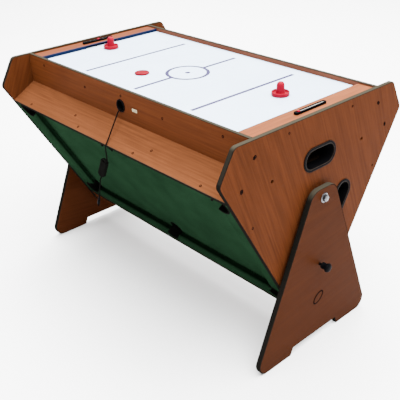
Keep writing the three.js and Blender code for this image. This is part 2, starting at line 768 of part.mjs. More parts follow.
const poolHoles = POCKETS.map(([, x, y]) => [x, y, POCKET_R]);
piece(pool, "pool_bed", clothBed(poolHoles), cloth);
piece(pool, "pool_cushion_right", sideCushion(), cloth);
piece(pool, "pool_cushion_left", sideCushion(), cloth).rotation.z = Math.PI;
pieceAtEnds(pool, "pool_cushion_end", endCushion(), cloth);
for (const [name, x, y] of POCKETS) piece(pool, `pocket_${name}`, pocket(x, y), blackPlastic);

// ---- bumper-pool side ----
const CROSS = [70, 130];
const centrePosts = CROSS.flatMap((d) => [
  [d, 0],
  [-d, 0],
  [0, d],
  [0, -d],
]);
const END_POST_Y = 95;
const PLATE_THICK = 10;
const plateTop = BED_UNDER - GAP;
const bumperHoles = [
  ...centrePosts.map(([x, y]) => [x, y, POST_R + GAP]),
  ...[-BALL_HOLE_X, BALL_HOLE_X].flatMap((x) => [
    [x, 0, BALL_HOLE_R],
    [x, END_POST_Y, POST_R + GAP],
    [x, -END_POST_Y, POST_R + GAP],
  ]),
];

function cushionRing() {
  const ring = cushion(-INSIDE, -TRAY_HALF, INSIDE, TRAY_HALF);
  return cut(ring, playArea(CUSHION_BASE - 1, CUSHION_TOP + 1));
}

// A post through the bed, with a bumper head standing on the cloth.
function bumperPost([x, y]) {
  const base = BED + GAP;
  const head = [
    [0, base],
    [BUMPER_R - 4, base],
    [BUMPER_R, base + 7],
    [BUMPER_R, base + 17],
    [BUMPER_R - 7, base + 22],
    [BUMPER_R - 10, base + BUMPER_HEIGHT],
    [0, base + BUMPER_HEIGHT],
  ];
  const post = rod("z", plateTop - 1, base + 1, [0, 0], POST_R);
  return join(turned("z", head, 16), post).translate([x, y, 0]);
}

function centreBumpers() {
  const reach = Math.max(...CROSS) + 20;
  const arm = box([-reach, -15, plateTop - PLATE_THICK], [reach, 15, plateTop]);
  return join(arm, arm.rotate([0, 0, 90]), ...centrePosts.map(bumperPost));
}

function endBumpers() {
  const outer = END_POST_Y + 18;
  const inner = END_POST_Y - 18;
  const bar = box(
    [BALL_HOLE_X + 30, -outer, plateTop - PLATE_THICK],
    [BALL_HOLE_X + 44, outer, plateTop],
  );
  const lugs = [inner, -outer].map((y) =>
    box(
      [BALL_HOLE_X - 18, y, plateTop - PLATE_THICK],
      [BALL_HOLE_X + 44, y + outer - inner, plateTop],
    ),
  );
  const posts = [-END_POST_Y, END_POST_Y].map((y) => bumperPost([BALL_HOLE_X, y]));
  return join(bar, ...lugs, ...posts);
}

piece(bumper, "bumper_bed", clothBed(bumperHoles), cloth);
piece(bumper, "bumper_cushions", cushionRing(), cloth);
piece(bumper, "centre_bumpers", centreBumpers(), red);
pieceAtEnds(bumper, "end_bumpers", endBumpers(), red);
const ballDrop = BALL_HOLE_X - BALL_HOLE_R - 5;
const cupTop = plateTop - PLATE_THICK - GAP;
pieceAtEnds(bumper, "ball_return_cup", returnCup(ballDrop, cupTop), blackPlastic);

export default table;
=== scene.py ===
"""A rotating three-in-one games table: its looks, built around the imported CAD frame. Metres."""

import json
import math

import bmesh
import bpy
from mathutils import Matrix, Vector
from mathutils.geometry import tessellate_polygon


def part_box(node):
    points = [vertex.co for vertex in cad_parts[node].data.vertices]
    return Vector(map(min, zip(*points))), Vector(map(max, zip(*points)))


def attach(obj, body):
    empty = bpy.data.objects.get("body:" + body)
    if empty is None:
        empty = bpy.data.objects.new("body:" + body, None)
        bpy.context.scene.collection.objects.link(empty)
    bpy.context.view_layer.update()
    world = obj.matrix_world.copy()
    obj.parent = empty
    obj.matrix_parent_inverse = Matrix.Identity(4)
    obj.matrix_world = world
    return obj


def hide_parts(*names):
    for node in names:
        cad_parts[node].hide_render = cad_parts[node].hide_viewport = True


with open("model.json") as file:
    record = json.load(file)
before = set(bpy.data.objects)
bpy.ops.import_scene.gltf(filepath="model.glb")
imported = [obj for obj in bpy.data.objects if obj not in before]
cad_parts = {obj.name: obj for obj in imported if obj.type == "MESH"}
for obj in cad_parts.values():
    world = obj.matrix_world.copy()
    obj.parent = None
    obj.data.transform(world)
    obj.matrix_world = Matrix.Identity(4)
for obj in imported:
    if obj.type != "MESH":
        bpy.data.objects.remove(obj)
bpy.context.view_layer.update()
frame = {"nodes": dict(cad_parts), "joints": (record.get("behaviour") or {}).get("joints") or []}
scene = bpy.context.scene
MM = 0.001
BLACK, WHITE = (0, 0, 0, 1), (1, 1, 1, 1)

# ---- camera ----
CAMERA_PLACE = Vector((1.7463, -1.5116, 1.5886))
CAMERA_LENS = 59.61
AZIMUTH, ELEVATION, ROLL = (math.radians(v) for v in (48.358, 28.832, -1.7218))


def linked(name, data):
    """A new object in the scene."""
    obj = bpy.data.objects.new(name, data)
    scene.collection.objects.link(obj)
    return obj


def camera_matrix():
    """The camera looks down along its azimuth and is rolled a little about its own axis."""
    turn = Matrix.Rotation(AZIMUTH, 4, "Z") @ Matrix.Rotation(math.pi / 2 - ELEVATION, 4, "X")
    return Matrix.Translation(CAMERA_PLACE) @ turn @ Matrix.Rotation(ROLL, 4, "Z")


camera = linked("camera", bpy.data.cameras.new("camera"))
camera.data.lens = CAMERA_LENS
camera.data.sensor_width = 36
camera.data.clip_end = 100
camera.matrix_world = camera_matrix()
scene.camera = camera


# ---- materials ----
def rgb(red, green, blue):
    """A scene-linear colour from display values of 0 to 255."""

    def linear(value):
        share = value / 255
        return share / 12.92 if share <= 0.04045 else ((share + 0.055) / 1.055) ** 2.4

    return (linear(red), linear(green), linear(blue), 1)


def scaled(color, factor):
    return tuple(factor * v for v in color[:3]) + (1,)


MIX_COLOR_INPUTS = (0, 6, 7)
MIX_COLOR_OUTPUT = 2


class Shader:
    """A node material, with short calls for what its patterns need."""

    def __init__(self, name, color, roughness, **constants):
        self.material = bpy.data.materials.new(name)
        self.material.use_nodes = True
        self.tree = self.material.node_tree
        self.bsdf = self.tree.nodes["Principled BSDF"]
        self.bsdf.inputs["Base Color"].default_value = color
        self.bsdf.inputs["Roughness"].default_value = roughness
        for socket, value in constants.items():
            self.bsdf.inputs[socket.replace("_", " ")].default_value = value
        self.place = self.tree.nodes.new("ShaderNodeTexCoord").outputs["Object"]

    def node(self, kind, inputs, **settings):
        node = self.tree.nodes.new(kind)
        for key, value in settings.items():
            setattr(node, key, value)
        for key, value in inputs.items():
            if isinstance(value, bpy.types.NodeSocket):
                self.tree.links.new(value, node.inputs[key])
            else:
                node.inputs[key].default_value = value
        return node

    def mapped(self, vector, scale=(1, 1, 1), rotation=(0, 0, 0)):
        inputs = {"Vector": vector, "Scale": scale, "Rotation": rotation}
        return self.node("ShaderNodeMapping", inputs).outputs["Vector"]

    def noise(self, vector, scale=1.0, detail=2.0, roughness=0.5, distortion=0.0):
        inputs = {"Vector": vector, "Scale": scale, "Detail": detail}
        inputs |= {"Roughness": roughness, "Distortion": distortion}
        return self.node("ShaderNodeTexNoise", inputs).outputs["Fac"]

    def math(self, operation, *values):
        inputs = dict(enumerate(values))
        return self.node("ShaderNodeMath", inputs, operation=operation).outputs[0]

    def ramp(self, factor, *stops):
        node = self.node("ShaderNodeValToRGB", {"Fac": factor})
        elements = node.color_ramp.elements
        while len(elements) < len(stops):
            elements.new(0.5)
        for element, (place, color) in zip(elements, stops):
            element.position = place
            element.color = color
        return node.outputs["Color"]

    def mix(self, factor, first, second):
        inputs = dict(zip(MIX_COLOR_INPUTS, (factor, first, second)))
        return self.node("ShaderNodeMix", inputs, data_type="RGBA").outputs[MIX_COLOR_OUTPUT]

    def color(self, value):
        self.tree.links.new(value, self.bsdf.inputs["Base Color"])

    def roughness(self, factor, low, high):
        inputs = {"Value": factor, "To Min": low, "To Max": high}
        value = self.node("ShaderNodeMapRange", inputs).outputs["Result"]
        self.tree.links.new(value, self.bsdf.inputs["Roughness"])

    def bump(self, height, strength, distance):
        inputs = {"Height": height, "Strength": strength, "Distance": distance}
        normal = self.node("ShaderNodeBump", inputs).outputs["Normal"]
        self.tree.links.new(normal, self.bsdf.inputs["Normal"])


def wood(name, grain, middle, contrast=0.22, inner=None):
    """Printed wood laminate whose grain runs along a direction.

    inner is a sign and a colour: faces toward that side along Y get the figure in that colour, painted light
    that makes them paler.
    """

    def figured(color):
        dark, light = scaled(color, 1 - contrast), scaled(color, 1 + contrast)
        return shader.ramp(tone, (0.30, dark), (0.49, color), (0.68, light))

    shader = Shader(name, middle, 0.5, Specular_IOR_Level=0.005)
    rotation = Vector(grain).rotation_difference(Vector((1, 0, 0))).to_euler()
    along = shader.mapped(shader.place, rotation=rotation)
    broad = shader.noise(shader.mapped(along, (1.1, 5, 5)), detail=1.2, distortion=0.4)
    arches = shader.math("SINE", shader.math("MULTIPLY", broad, 75))
    streaks = shader.noise(shader.mapped(along, (4, 130, 130)), detail=5, roughness=0.6)
    pores = shader.noise(shader.mapped(along, (30, 900, 900)), detail=2)
    tone = shader.math("MULTIPLY_ADD", arches, 0.03, streaks)
    figure = figured(middle)
    flecks = shader.ramp(pores, (0.30, WHITE), (0.42, BLACK))
    # painted light: faces toward the given side along Y take a paler copy of the figure
    if inner:
        side, pale = inner
        normal = shader.node("ShaderNodeTexCoord", {}).outputs["Normal"]
        across = shader.node("ShaderNodeSeparateXYZ", {"Vector": normal}).outputs["Y"]
        facing = shader.ramp(shader.math("MULTIPLY", across, side), (0.8, BLACK), (0.9, WHITE))
        figure = shader.mix(facing, figure, figured(pale))
    flecks = shader.math("MULTIPLY", flecks, 0.45)
    shader.color(shader.mix(flecks, figure, scaled(middle, 1 - contrast)))
    shader.roughness(streaks, 0.42, 0.54)
    shader.bump(pores, 0.08, 0.0004)
    return shader.material


def plastic(name, color, roughness, grain=900, depth=0.06, gloss=0.025):
    """Moulded plastic with a fine skin texture and a slight drift of colour."""
    shader = Shader(name, color, roughness, Specular_IOR_Level=gloss)
    drift = shader.noise(shader.place, scale=35, detail=3)
    shader.color(shader.ramp(drift, (0.35, scaled(color, 0.82)), (0.65, color)))
    fine = shader.noise(shader.place, scale=grain, detail=2)
    shader.roughness(fine, roughness - 0.05, roughness + 0.08)
    shader.bump(fine, depth, 0.0002)
    return shader.material


def edge_moulding(name, side, top):
    """Matt edge moulding with a painted highlight: paler where it faces up."""
    shader = Shader(name, side, 0.6, Specular_IOR_Level=0.0)
    normal = shader.node("ShaderNodeNewGeometry", {}).outputs["Normal"]
    highlight_mask = shader.node("ShaderNodeSeparateXYZ", {"Vector": normal}).outputs["Z"]
    specks = shader.noise(shader.place, scale=400, detail=3)
    highlight_mask = shader.math("MULTIPLY_ADD", specks, 0.1, highlight_mask)
    # painted highlight: faces that point up take the paler colour
    shader.color(shader.ramp(highlight_mask, (0.45, side), (0.95, top)))
    shader.bump(specks, 0.1, 0.0003)
    return shader.material


def napped_cloth(name, color):
    """Billiard cloth: short fibres in a faint weave."""
    shade, light = scaled(color, 0.7), scaled(color, 1.35)
    shader = Shader(name, color, 0.95, Specular_IOR_Level=0.0)
    fibres = shader.noise(shader.mapped(shader.place, (500, 900, 900)), detail=4, roughness=0.7)
    patches = shader.noise(shader.place, scale=9, detail=3)
    blend = shader.math("MULTIPLY_ADD", patches, 0.35, shader.math("MULTIPLY", fibres, 0.65))
    shader.color(shader.ramp(blend, (0.38, shade), (0.5, color), (0.64, light)))
    shader.bump(fibres, 0.35, 0.0004)
    return shader.material


def metal(name, color, roughness):
    """Bright plated steel with faint turning marks."""
    shader = Shader(name, color, roughness, Metallic=1.0)
    marks = shader.noise(shader.place, scale=700, detail=3)
    shader.roughness(marks, roughness - 0.06, roughness + 0.12)
    shader.bump(marks, 0.05, 0.0002)
    return shader.material


def raw_board(name):
    """Bare particle board."""
    shader = Shader(name, rgb(96, 78, 54), 0.85, Specular_IOR_Level=0.1)
    chips = shader.noise(shader.place, scale=260, detail=5, roughness=0.7)
    shades = (0.35, rgb(62, 46, 28)), (0.5, rgb(96, 78, 54)), (0.66, rgb(122, 104, 80))
    shader.color(shader.ramp(chips, *shades))
    shader.bump(chips, 0.3, 0.0006)
    return shader.material


RINK_CIRCLE_R, RINK_CIRCLE_HALF_WIDTH = 0.0745, 0.0065
RINK_ZONE_X = 0.289
RINK_LINE_END, RINK_LINE_HALF_WIDTH = 0.241, 0.007
RINK_SPOT_R = 0.010
RINK_INK, HOLE_SHADE = rgb(20, 8, 58), rgb(60, 60, 66)
AIR_HOLE_PITCH, AIR_HOLE_R = 0.0254, 0.0008


def rink(name):
    """White laminate with printed lines, and a grid of small air holes drawn as dots of painted shade."""
    shader = Shader(name, rgb(238, 242, 247), 0.3, Specular_IOR_Level=0.1)
    calc = shader.math
    axes = shader.node("ShaderNodeSeparateXYZ", {"Vector": shader.place}).outputs
    x, y = axes["X"], axes["Y"]
    across = calc("ABSOLUTE", x)
    squares = calc("MULTIPLY_ADD", y, y, calc("MULTIPLY", x, x))
    radius = calc("SQRT", squares)
    circle = calc("COMPARE", radius, RINK_CIRCLE_R, RINK_CIRCLE_HALF_WIDTH)
    spot = calc("LESS_THAN", radius, RINK_SPOT_R)
    zones = calc("COMPARE", across, RINK_ZONE_X, RINK_LINE_HALF_WIDTH)
    middle = calc("COMPARE", x, 0.0, RINK_LINE_HALF_WIDTH)
    middle = calc("MULTIPLY", middle, calc("GREATER_THAN", radius, RINK_CIRCLE_R))
    lines = calc("MAXIMUM", zones, middle)
    inside = calc("LESS_THAN", calc("ABSOLUTE", y), RINK_LINE_END)
    lines = calc("MULTIPLY", lines, inside)
    lines = calc("MAXIMUM", lines, calc("MAXIMUM", circle, spot))

    def from_middle(axis):
        share = calc("FRACT", calc("DIVIDE", axis, AIR_HOLE_PITCH))
        return calc("SUBTRACT", share, 0.5)

    a, b = from_middle(x), from_middle(y)
    cell = calc("SQRT", calc("MULTIPLY_ADD", a, a, calc("MULTIPLY", b, b)))
    holes = calc("LESS_THAN", cell, AIR_HOLE_R / AIR_HOLE_PITCH)
    haze = shader.noise(shader.place, scale=6, detail=2)
    white = shader.ramp(haze, (0.3, rgb(172, 189, 210)), (0.7, rgb(178, 195, 216)))
    printed = shader.mix(lines, white, RINK_INK)
    shader.color(shader.mix(holes, printed, HOLE_SHADE))
    shader.roughness(haze, 0.22, 0.34)
    return shader.material


PANEL_SLANT, LEG_SLANT = math.radians(22), 0.12
LENGTHWISE, CROSSWISE = (1, 0, 0), (0, 1, 0)
PANEL_GRAIN = (0, math.sin(PANEL_SLANT), -math.cos(PANEL_SLANT))
LEG_GRAIN = (0, math.cos(LEG_SLANT), math.sin(LEG_SLANT))
RAIL_WOOD, INNER_FACE_LIT = rgb(61, 30, 13), rgb(82, 47, 34)
M = {
    "rail": wood("wood_lengthwise", LENGTHWISE, RAIL_WOOD),
    # a paler copy of the rail wood for the pool rails: painted sheen
    "rail_sheen": wood("wood_lengthwise_sheen", LENGTHWISE, rgb(70, 39, 21)),
    # the hockey rails' faces toward the rink are paler: painted light
    "rail_lit_inner_left": wood("wood_lit_inner_left", LENGTHWISE, RAIL_WOOD, inner=(1, INNER_FACE_LIT)),
    "rail_lit_inner_right": wood("wood_lit_inner_right", LENGTHWISE, RAIL_WOOD, inner=(-1, INNER_FACE_LIT)),
    "panel": wood("wood_panel", PANEL_GRAIN, rgb(54, 26, 11), contrast=0.26),
    "leg_near": wood("wood_leg", LEG_GRAIN, rgb(42, 19, 7), contrast=0.14),
    # the far leg gets a paler copy of the leg wood: painted bounce light from the floor on its shaded face
    "leg_far": wood("wood_leg_far_lit", LEG_GRAIN, rgb(49, 23, 10), contrast=0.14),
    "strip": wood("wood_pale", CROSSWISE, rgb(93, 52, 30)),
    # a darker copy of the strip wood for the far end strip: painted shade
    "strip_shaded": wood("wood_pale_shaded", CROSSWISE, rgb(80, 42, 25)),
    "board": raw_board("particle_board"),
    # the edging's second colour is a painted highlight on faces that point up
    "edging": edge_moulding("edge_moulding", rgb(13, 12, 10), rgb(40, 37, 30)),
    "black": plastic("black_plastic", rgb(5, 5, 6), 0.45, gloss=0.006),
    "navy": plastic("navy_plastic", rgb(5, 16, 40), 0.4),
    "screw": plastic("dark_screws", rgb(4, 4, 4), 0.5, gloss=0.0),
    "red": plastic("red_plastic", rgb(116, 0, 25), 0.3, 500, 0.02, gloss=0.02),
    # the puck's red: a darker copy of the pusher red, painted shade against the stronger light on its upturned
    # top
    "red_puck_shaded": plastic("red_puck", rgb(91, 0, 15), 0.35, 500, 0.02, gloss=0.01),
    "white": plastic("white_plastic", rgb(150, 149, 142), 0.4),
    "cream": plastic("cream_plastic", rgb(146, 136, 110), 0.45),
    "rubber": plastic("black_rubber", rgb(9, 9, 8), 0.6, gloss=0.0),
    "steel": metal("plated_steel", rgb(72, 72, 75), 0.34),
    "cup": plastic("return_cup", rgb(24, 17, 11), 0.5),
    "cloth": napped_cloth("green_cloth", rgb(15, 31, 19)),
    "rink": rink("rink_surface"),
}


# ---- mesh building ----
SHARP_ANGLE = 35


def mesh_object(name, vertices, faces, material, angle=SHARP_ANGLE):
    """An object from faces, with doubled points joined and edges sharp above an angle."""
    mesh = bpy.data.meshes.new(name)
    built = bmesh.new()
    points = [built.verts.new(v) for v in vertices]
    for face in faces:
        built.faces.new([points[i] for i in face])
    bmesh.ops.remove_doubles(built, verts=built.verts, dist=1e-6)
    bmesh.ops.dissolve_degenerate(built, edges=built.edges, dist=1e-7)
    bmesh.ops.recalc_face_normals(built, faces=built.faces)
    built.to_mesh(mesh)
    built.free()
    mesh.shade_smooth()
    mesh.set_sharp_from_angle(angle=math.radians(angle))
    mesh.materials.append(material)
    return linked(name, mesh)


def ALONG_X(a, b, t):
    return (t, a, b)


def ALONG_Y(a, b, t):
    return (a, t, b)


def ALONG_Z(a, b, t):
    return (a, b, t)


def in_mm(pairs, base=0.0):
    """A profile given in millimetres, whose second numbers start from a base."""
    return [(a * MM, base + b * MM) for a, b in pairs]


def ellipse(half_a, half_b, centre=(0, 0), count=48):
    """An outline that can be grown: an ellipse."""

    def outline(grow=0.0):
        turns = (2 * math.pi * i / count for i in range(count))
        a, b = half_a + grow, half_b + grow
        return [(centre[0] + a * math.cos(t), centre[1] + b * math.sin(t)) for t in turns]

    return outline


def circle(a, b, radius, count=48):
    return ellipse(radius, radius, (a, b), count)


def oval(a, b, width, height, count=20):
    """An outline that can be grown: a slot with round ends."""

    def outline(grow=0.0):
        radius = height / 2 + grow
        reach = (width - height) / 2
        points = []
        for side, start in ((1, -0.5), (-1, 0.5)):
            for i in range(count + 1):
                turn = math.pi * (i / count + start)
                x = a + side * reach + radius * math.cos(turn)
                points.append((x, b + radius * math.sin(turn)))
        return points

    return outline


def rounded(corners, count=8):
    """An outline that can be grown, from counterclockwise (a, b, radius) corners."""

    def outline(grow=0.0):
        lines = []
        for i, (a, b, _) in enumerate(corners):
            a1, b1, _ = corners[(i + 1) % len(corners)]
            along = Vector((a1 - a, b1 - b)).normalized()
            normal = Vector((along.y, -along.x))
            lines.append((along, normal, normal.dot(Vector((a, b))) + grow))
        points = []
        for i, (_, _, radius) in enumerate(corners):
            (before, p, u), (after, q, v) = lines[i - 1], lines[i]
            cross = p.x * q.y - p.y * q.x
            corner = Vector(((u * q.y - v * p.y) / cross, (v * p.x - u * q.x) / cross))
            radius = max(radius + math.copysign(grow, cross), 0) if radius > 0 else 0
            if radius == 0:
                points.append(tuple(corner))
                continue
            half = (math.pi - before.angle(after)) / 2
            reach = radius / math.tan(half)
            side = 1 if cross > 0 else -1
            centre = corner - before * reach - p * radius * side
            start = math.atan2(p.y * side, p.x * side)
            sweep = math.atan2(cross, p.dot(q))
            for k in range(count + 1):
                turn = start + sweep * k / count
                a, b = radius * math.cos(turn), radius * math.sin(turn)
                points.append((centre.x + a, centre.y + b))
        return points

    return outline


def rectangle(a0, b0, a1, b1, radius=0.0):
    return rounded([(a, b, radius) for a, b in ((a0, b0), (a1, b0), (a1, b1), (a0, b1))])


def rings_to_faces(rings, closed):
    """Vertices and faces of a skin over rings of equal length, closed round each ring."""
    count = len(rings[0])
    vertices = [point for ring in rings for point in ring]
    faces = []
    for k in range(len(rings) if closed else len(rings) - 1):
        a, b = k * count, (k + 1) % len(rings) * count
        for i in range(count):
            j = (i + 1) % count
            faces.append((a + i, a + j, b + j, b + i))
    return vertices, faces


def skin(name, rings, material, closed=False, angle=SHARP_ANGLE):
    return mesh_object(name, *rings_to_faces(rings, closed), material, angle)


def band(name, outline, profile, material, axis=ALONG_X, closed=True):
    """A strip that follows an outline: its profile is (place along the axis, growth) pairs."""
    rings = [[axis(a, b, t) for a, b in outline(grow)] for t, grow in profile]
    return skin(name, rings, material, closed)


PLATE_ANGLE = 20


def plate(name, outline, holes, low, high, edge, material, axis=ALONG_X):
    """A board between two places along an axis, with eased edges and holes through it."""
    vertices, faces = [], []
    eased = [(low, edge), (low + 0.3 * edge, 0.3 * edge), (low + edge, 0)]
    eased += [(high - edge, 0), (high - 0.3 * edge, 0.3 * edge), (high, edge)]
    steps = eased if edge > 0 else [(low, 0), (high, 0)]
    for shape, sign in [(outline, -1), *((hole, 1) for hole in holes)]:
        rings = [[axis(a, b, t) for a, b in shape(sign * inset)] for t, inset in steps]
        more, walls = rings_to_faces(rings, False)
        faces += [tuple(i + len(vertices) for i in face) for face in walls]
        vertices += more
    for t in (low, high):
        loops = [[Vector((a, b, 0)) for a, b in outline(-edge)]]
        loops += [[Vector((a, b, 0)) for a, b in hole(edge)] for hole in holes]
        flat = [axis(p.x, p.y, t) for loop in loops for p in loop]
        faces += [tuple(i + len(vertices) for i in face) for face in tessellate_polygon(loops)]
        vertices += flat
    board = mesh_object(name, vertices, faces, material, PLATE_ANGLE)
    along = Vector(axis(0, 0, 1))
    for polygon in board.data.polygons:
        if abs(polygon.normal.dot(along)) > 0.999:  # the two flat sides
            polygon.use_smooth = False
    return board


def turned(name, profile, material, axis=ALONG_Z, centre=(0, 0), count=48, closed=False, angle=SHARP_ANGLE):
    """A turned piece: its profile is (radius, place along the axis) pairs."""
    rings = [[axis(a, b, t) for a, b in circle(*centre, r, count)()] for r, t in profile]
    return skin(name, rings, material, closed, angle)


def rod(name, radius, low, high, material, axis=ALONG_Z, centre=(0, 0), count=48):
    """A plain round bar with flat ends, for use within a joined piece or as a cutter."""
    return turned(name, [(0, low), (radius, low), (radius, high), (0, high)], material, axis, centre, count)


def joined(name, pieces):
    """One object from several, keeping each one's materials and places."""
    built = bmesh.new()
    result = bpy.data.meshes.new(name)
    for piece in pieces:
        index = result.materials.find(piece.data.materials[0].name)
        if index < 0:
            result.materials.append(piece.data.materials[0])
            index = len(result.materials) - 1
        copy = piece.data.copy()
        copy.transform(piece.matrix_world)
        for polygon in copy.polygons:
            polygon.material_index = index
        built.from_mesh(copy)
        bpy.data.objects.remove(piece)
    built.to_mesh(result)
    built.free()
    return linked(name, result)


def cut(obj, *cutters):
    """obj without the cutters, which are removed."""
    for cutter in cutters:
        modifier = obj.modifiers.new("cut", "BOOLEAN")
        modifier.operation = "DIFFERENCE"
        modifier.solver = "EXACT"
        modifier.object = cutter
    bpy.context.view_layer.update()
    result = obj.evaluated_get(bpy.context.evaluated_depsgraph_get())
    mesh = bpy.data.meshes.new_from_object(result)
    obj.modifiers.clear()
    obj.data = mesh
    for cutter in cutters:
        bpy.data.objects.remove(cutter)
    mesh.shade_smooth()
    mesh.set_sharp_from_angle(angle=math.radians(SHARP_ANGLE))
    return obj


def put(obj, body, slot, *replaced, matrix=None):
    """Places a finished piece, rides it on its body and hides the frame's nodes that it stands for."""
    if matrix is not None:
        obj.matrix_world = matrix
    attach(obj, body)
    if replaced:
        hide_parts(*replaced)


# ---- places, from the frame ----
joints = {joint["name"]: joint for joint in frame["joints"]}
PIVOT = Vector(joints["table_turn"]["pos_m"])
SIDE_TURN = math.radians(120)
SIDES = {
    name: Matrix.Translation(PIVOT) @ Matrix.Rotation(i * SIDE_TURN, 4, "X")
    for name, i in (("hockey", 0), ("pool", 1), ("bumper", -1))
}
ENDS = {"near": Matrix.Identity(4), "far": Matrix.Rotation(math.pi, 4, "Z")}
END_SIGNS = {"near": 1, "far": -1}
HANDS = {"left": -1, "right": 1}

panel_low, panel_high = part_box("end_panel_near")
leg_low, leg_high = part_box("leg_near")
rail_low, rail_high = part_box("hockey_rail_right")
PANEL_IN, PANEL_OUT = panel_low.x, panel_high.x
LEG_IN, LEG_OUT = leg_low.x, leg_high.x
RIM = rail_high.z - PIVOT.z
RAIL_IN, RAIL_OUT = rail_low.y, rail_high.y
INSIDE = rail_high.x
field_low, field_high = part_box("hockey_playfield")
SURFACE = field_high.z - PIVOT.z
TRAY_HALF = field_high.y
strip_low, strip_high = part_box("hockey_end_strip_near")
PLAY_END = strip_low.x
STRIP_TOP = strip_high.z - PIVOT.z


# ---- power cord, first because its route is fixed by the frame ----
CORD_R = 2.25 * MM
CORD_LEAD = [
    (-4, -303.3, 782.6), (-4, -306.8, 782.4), (-3.6, -310.6, 781), (-2.4, -315, 777.7),
    (0.8, -322.5, 770.2), (7.2, -337.8, 754.9), (13.6, -353, 739.7), (20, -368.3, 724.5),
    (25.8, -382, 710.8), (29, -390, 703.2), (31, -395.6, 698.4), (32.4, -399.4, 693.2),
    (33, -401.2, 686.5), (32.8, -401.6, 677), (31.2, -400, 665.5), (28.4, -398, 655.5),
]
CORD_TAIL = [
    (-17.8, -402, 553), (-21.8, -402, 538), (-26, -402, 522),
    (-30.4, -402, 506), (-34.6, -402, 490), (-38.4, -402, 475),
]
HANK_CENTRE = Vector((4, -402, 602.8)) * MM
HANK_TILT = math.radians(25)
HANK_STRAIGHT = 29 * MM
HANK_INTO = [(4.0, 44, 6.0), (7.4, 34, 6.9), (9.6, 23, 6.9), (9.8, 11, 5.6)]
HANK_OUT = [(4.9, 0, -0.2), (4.5, -10, 2.4), (3.8, -20, 5.4), (2.6, -31, 6.8), (1.3, -42, 5.6)]
# each turn's radius and depth, and where the last one ends
HANK_TURNS = [(9.6 * MM, 2.35 * MM), (9.6 * MM, -2.35 * MM), (5.1 * MM, -1 * MM)]
SHIFT_STARTS, SHIFT_SHARE = (0.76, 0.8), 0.22
TURN_POINTS = 16


def in_hank(across, along, depth):
    """A point of the hank from its own axes: across, up its length, and in depth."""
    c, s = math.cos(HANK_TILT), math.sin(HANK_TILT)
    return HANK_CENTRE + Vector((across * c + along * s, depth, along * c - across * s))


def racetrack(share, radius):
    """A place on a turn of the hank, from the middle of its right run and downward."""
    length = 4 * HANK_STRAIGHT + 2 * math.pi * radius
    run = share * length
    if run < HANK_STRAIGHT:
        return radius, -run
    run -= HANK_STRAIGHT
    if run < math.pi * radius:
        turn = run / radius
        return radius * math.cos(turn), -HANK_STRAIGHT - radius * math.sin(turn)
    run -= math.pi * radius
    if run < 2 * HANK_STRAIGHT:
        return -radius, -HANK_STRAIGHT + run
    run -= 2 * HANK_STRAIGHT
    if run < math.pi * radius:
        turn = run / radius
        return -radius * math.cos(turn), HANK_STRAIGHT + radius * math.sin(turn)
    run -= math.pi * radius
    return radius, HANK_STRAIGHT - run


def hank_points():
    """Two broad turns, from back to front, the second of which ends inside itself."""
    points = []
    steps = zip(HANK_TURNS, HANK_TURNS[1:], SHIFT_STARTS)
    for (radius, depth), (next_radius, next_depth), start in steps:
        for i in range(TURN_POINTS):
            share = i / TURN_POINTS
            shift = min(max((share - start) / SHIFT_SHARE, 0), 1)
            shift = shift * shift * (3 - 2 * shift)
            across, along = racetrack(share, radius + (next_radius - radius) * shift)
            points.append(in_hank(across, along, depth + (next_depth - depth) * shift))
    return points


def cord_points():
    lead, tail = ([Vector(p) * MM for p in route] for route in (CORD_LEAD, CORD_TAIL))
    into, out = ([in_hank(*(v * MM for v in p)) for p in route] for route in (HANK_INTO, HANK_OUT))
    return lead + into + hank_points() + out + tail


def cord_curve(name, points, radius, material):
    data = bpy.data.curves.new(name, "CURVE")
    data.dimensions = "3D"
    data.bevel_depth = radius
    data.bevel_resolution = 3
    data.resolution_u = 5
    data.use_fill_caps = True
    spline = data.splines.new("BEZIER")
    spline.bezier_points.add(len(points) - 1)
    for knot, point in zip(spline.bezier_points, points):
        knot.co = point
        knot.handle_left_type = knot.handle_right_type = "AUTO"
    data.materials.append(material)
    return linked(name, data)


cord = cord_curve("power_cord", cord_points(), CORD_R, M["rubber"])
put(cord, "drum", "cord_jacket", "cord_lead", "cord_hank", "cord_tail")

# a broad wrap round the middle of the hank, and round the cord that runs behind it
WRAP_PROFILE = [(-33, 0), (-33, 1.1), (-32, 1.6), (32, 1.6), (33, 1.1), (33, 0)]
wrap_outline = rectangle(-12.4 * MM, -5.2 * MM, 12.4 * MM, 9.6 * MM, 3 * MM)
wrap = band("cord_wrap", wrap_outline, in_mm(WRAP_PROFILE), M["rubber"], ALONG_Z)
wrap_place = Matrix.Translation(HANK_CENTRE) @ Matrix.Rotation(HANK_TILT, 4, "Y")
put(wrap, "drum", "cord_jacket", matrix=wrap_place)

PLUG_TILT = math.radians(17)
PLUG_CENTRE = Vector((-38.5, -402, 474.7)) * MM
PLUG_PROFILE = [
    (0, 0), (2.9, 0), (3.0, -3), (3.5, -3.4), (3.0, -4.2), (3.2, -6.4), (3.7, -6.8), (3.2, -7.6),
    (3.5, -9.8), (4.0, -10.2), (3.5, -11), (3.8, -13), (4.6, -14.4), (5, -16), (5, -32),
    (4.6, -33.6), (0, -34),
]
BARREL_PROFILE = [(0, -33.5), (2.75, -33.5), (2.75, -42.5), (2.4, -43), (1.3, -43), (1.1, -36), (0, -36)]
plug_place = Matrix.Translation(PLUG_CENTRE) @ Matrix.Rotation(PLUG_TILT, 4, "Y")
plug = turned("plug_body", in_mm(PLUG_PROFILE), M["black"], count=32)
barrel = turned("plug_barrel", in_mm(BARREL_PROFILE), M["screw"], count=32)
put(plug, "drum", "black_plastic", "cord_plug", matrix=plug_place)
put(barrel, "drum", "black_plastic", matrix=plug_place)

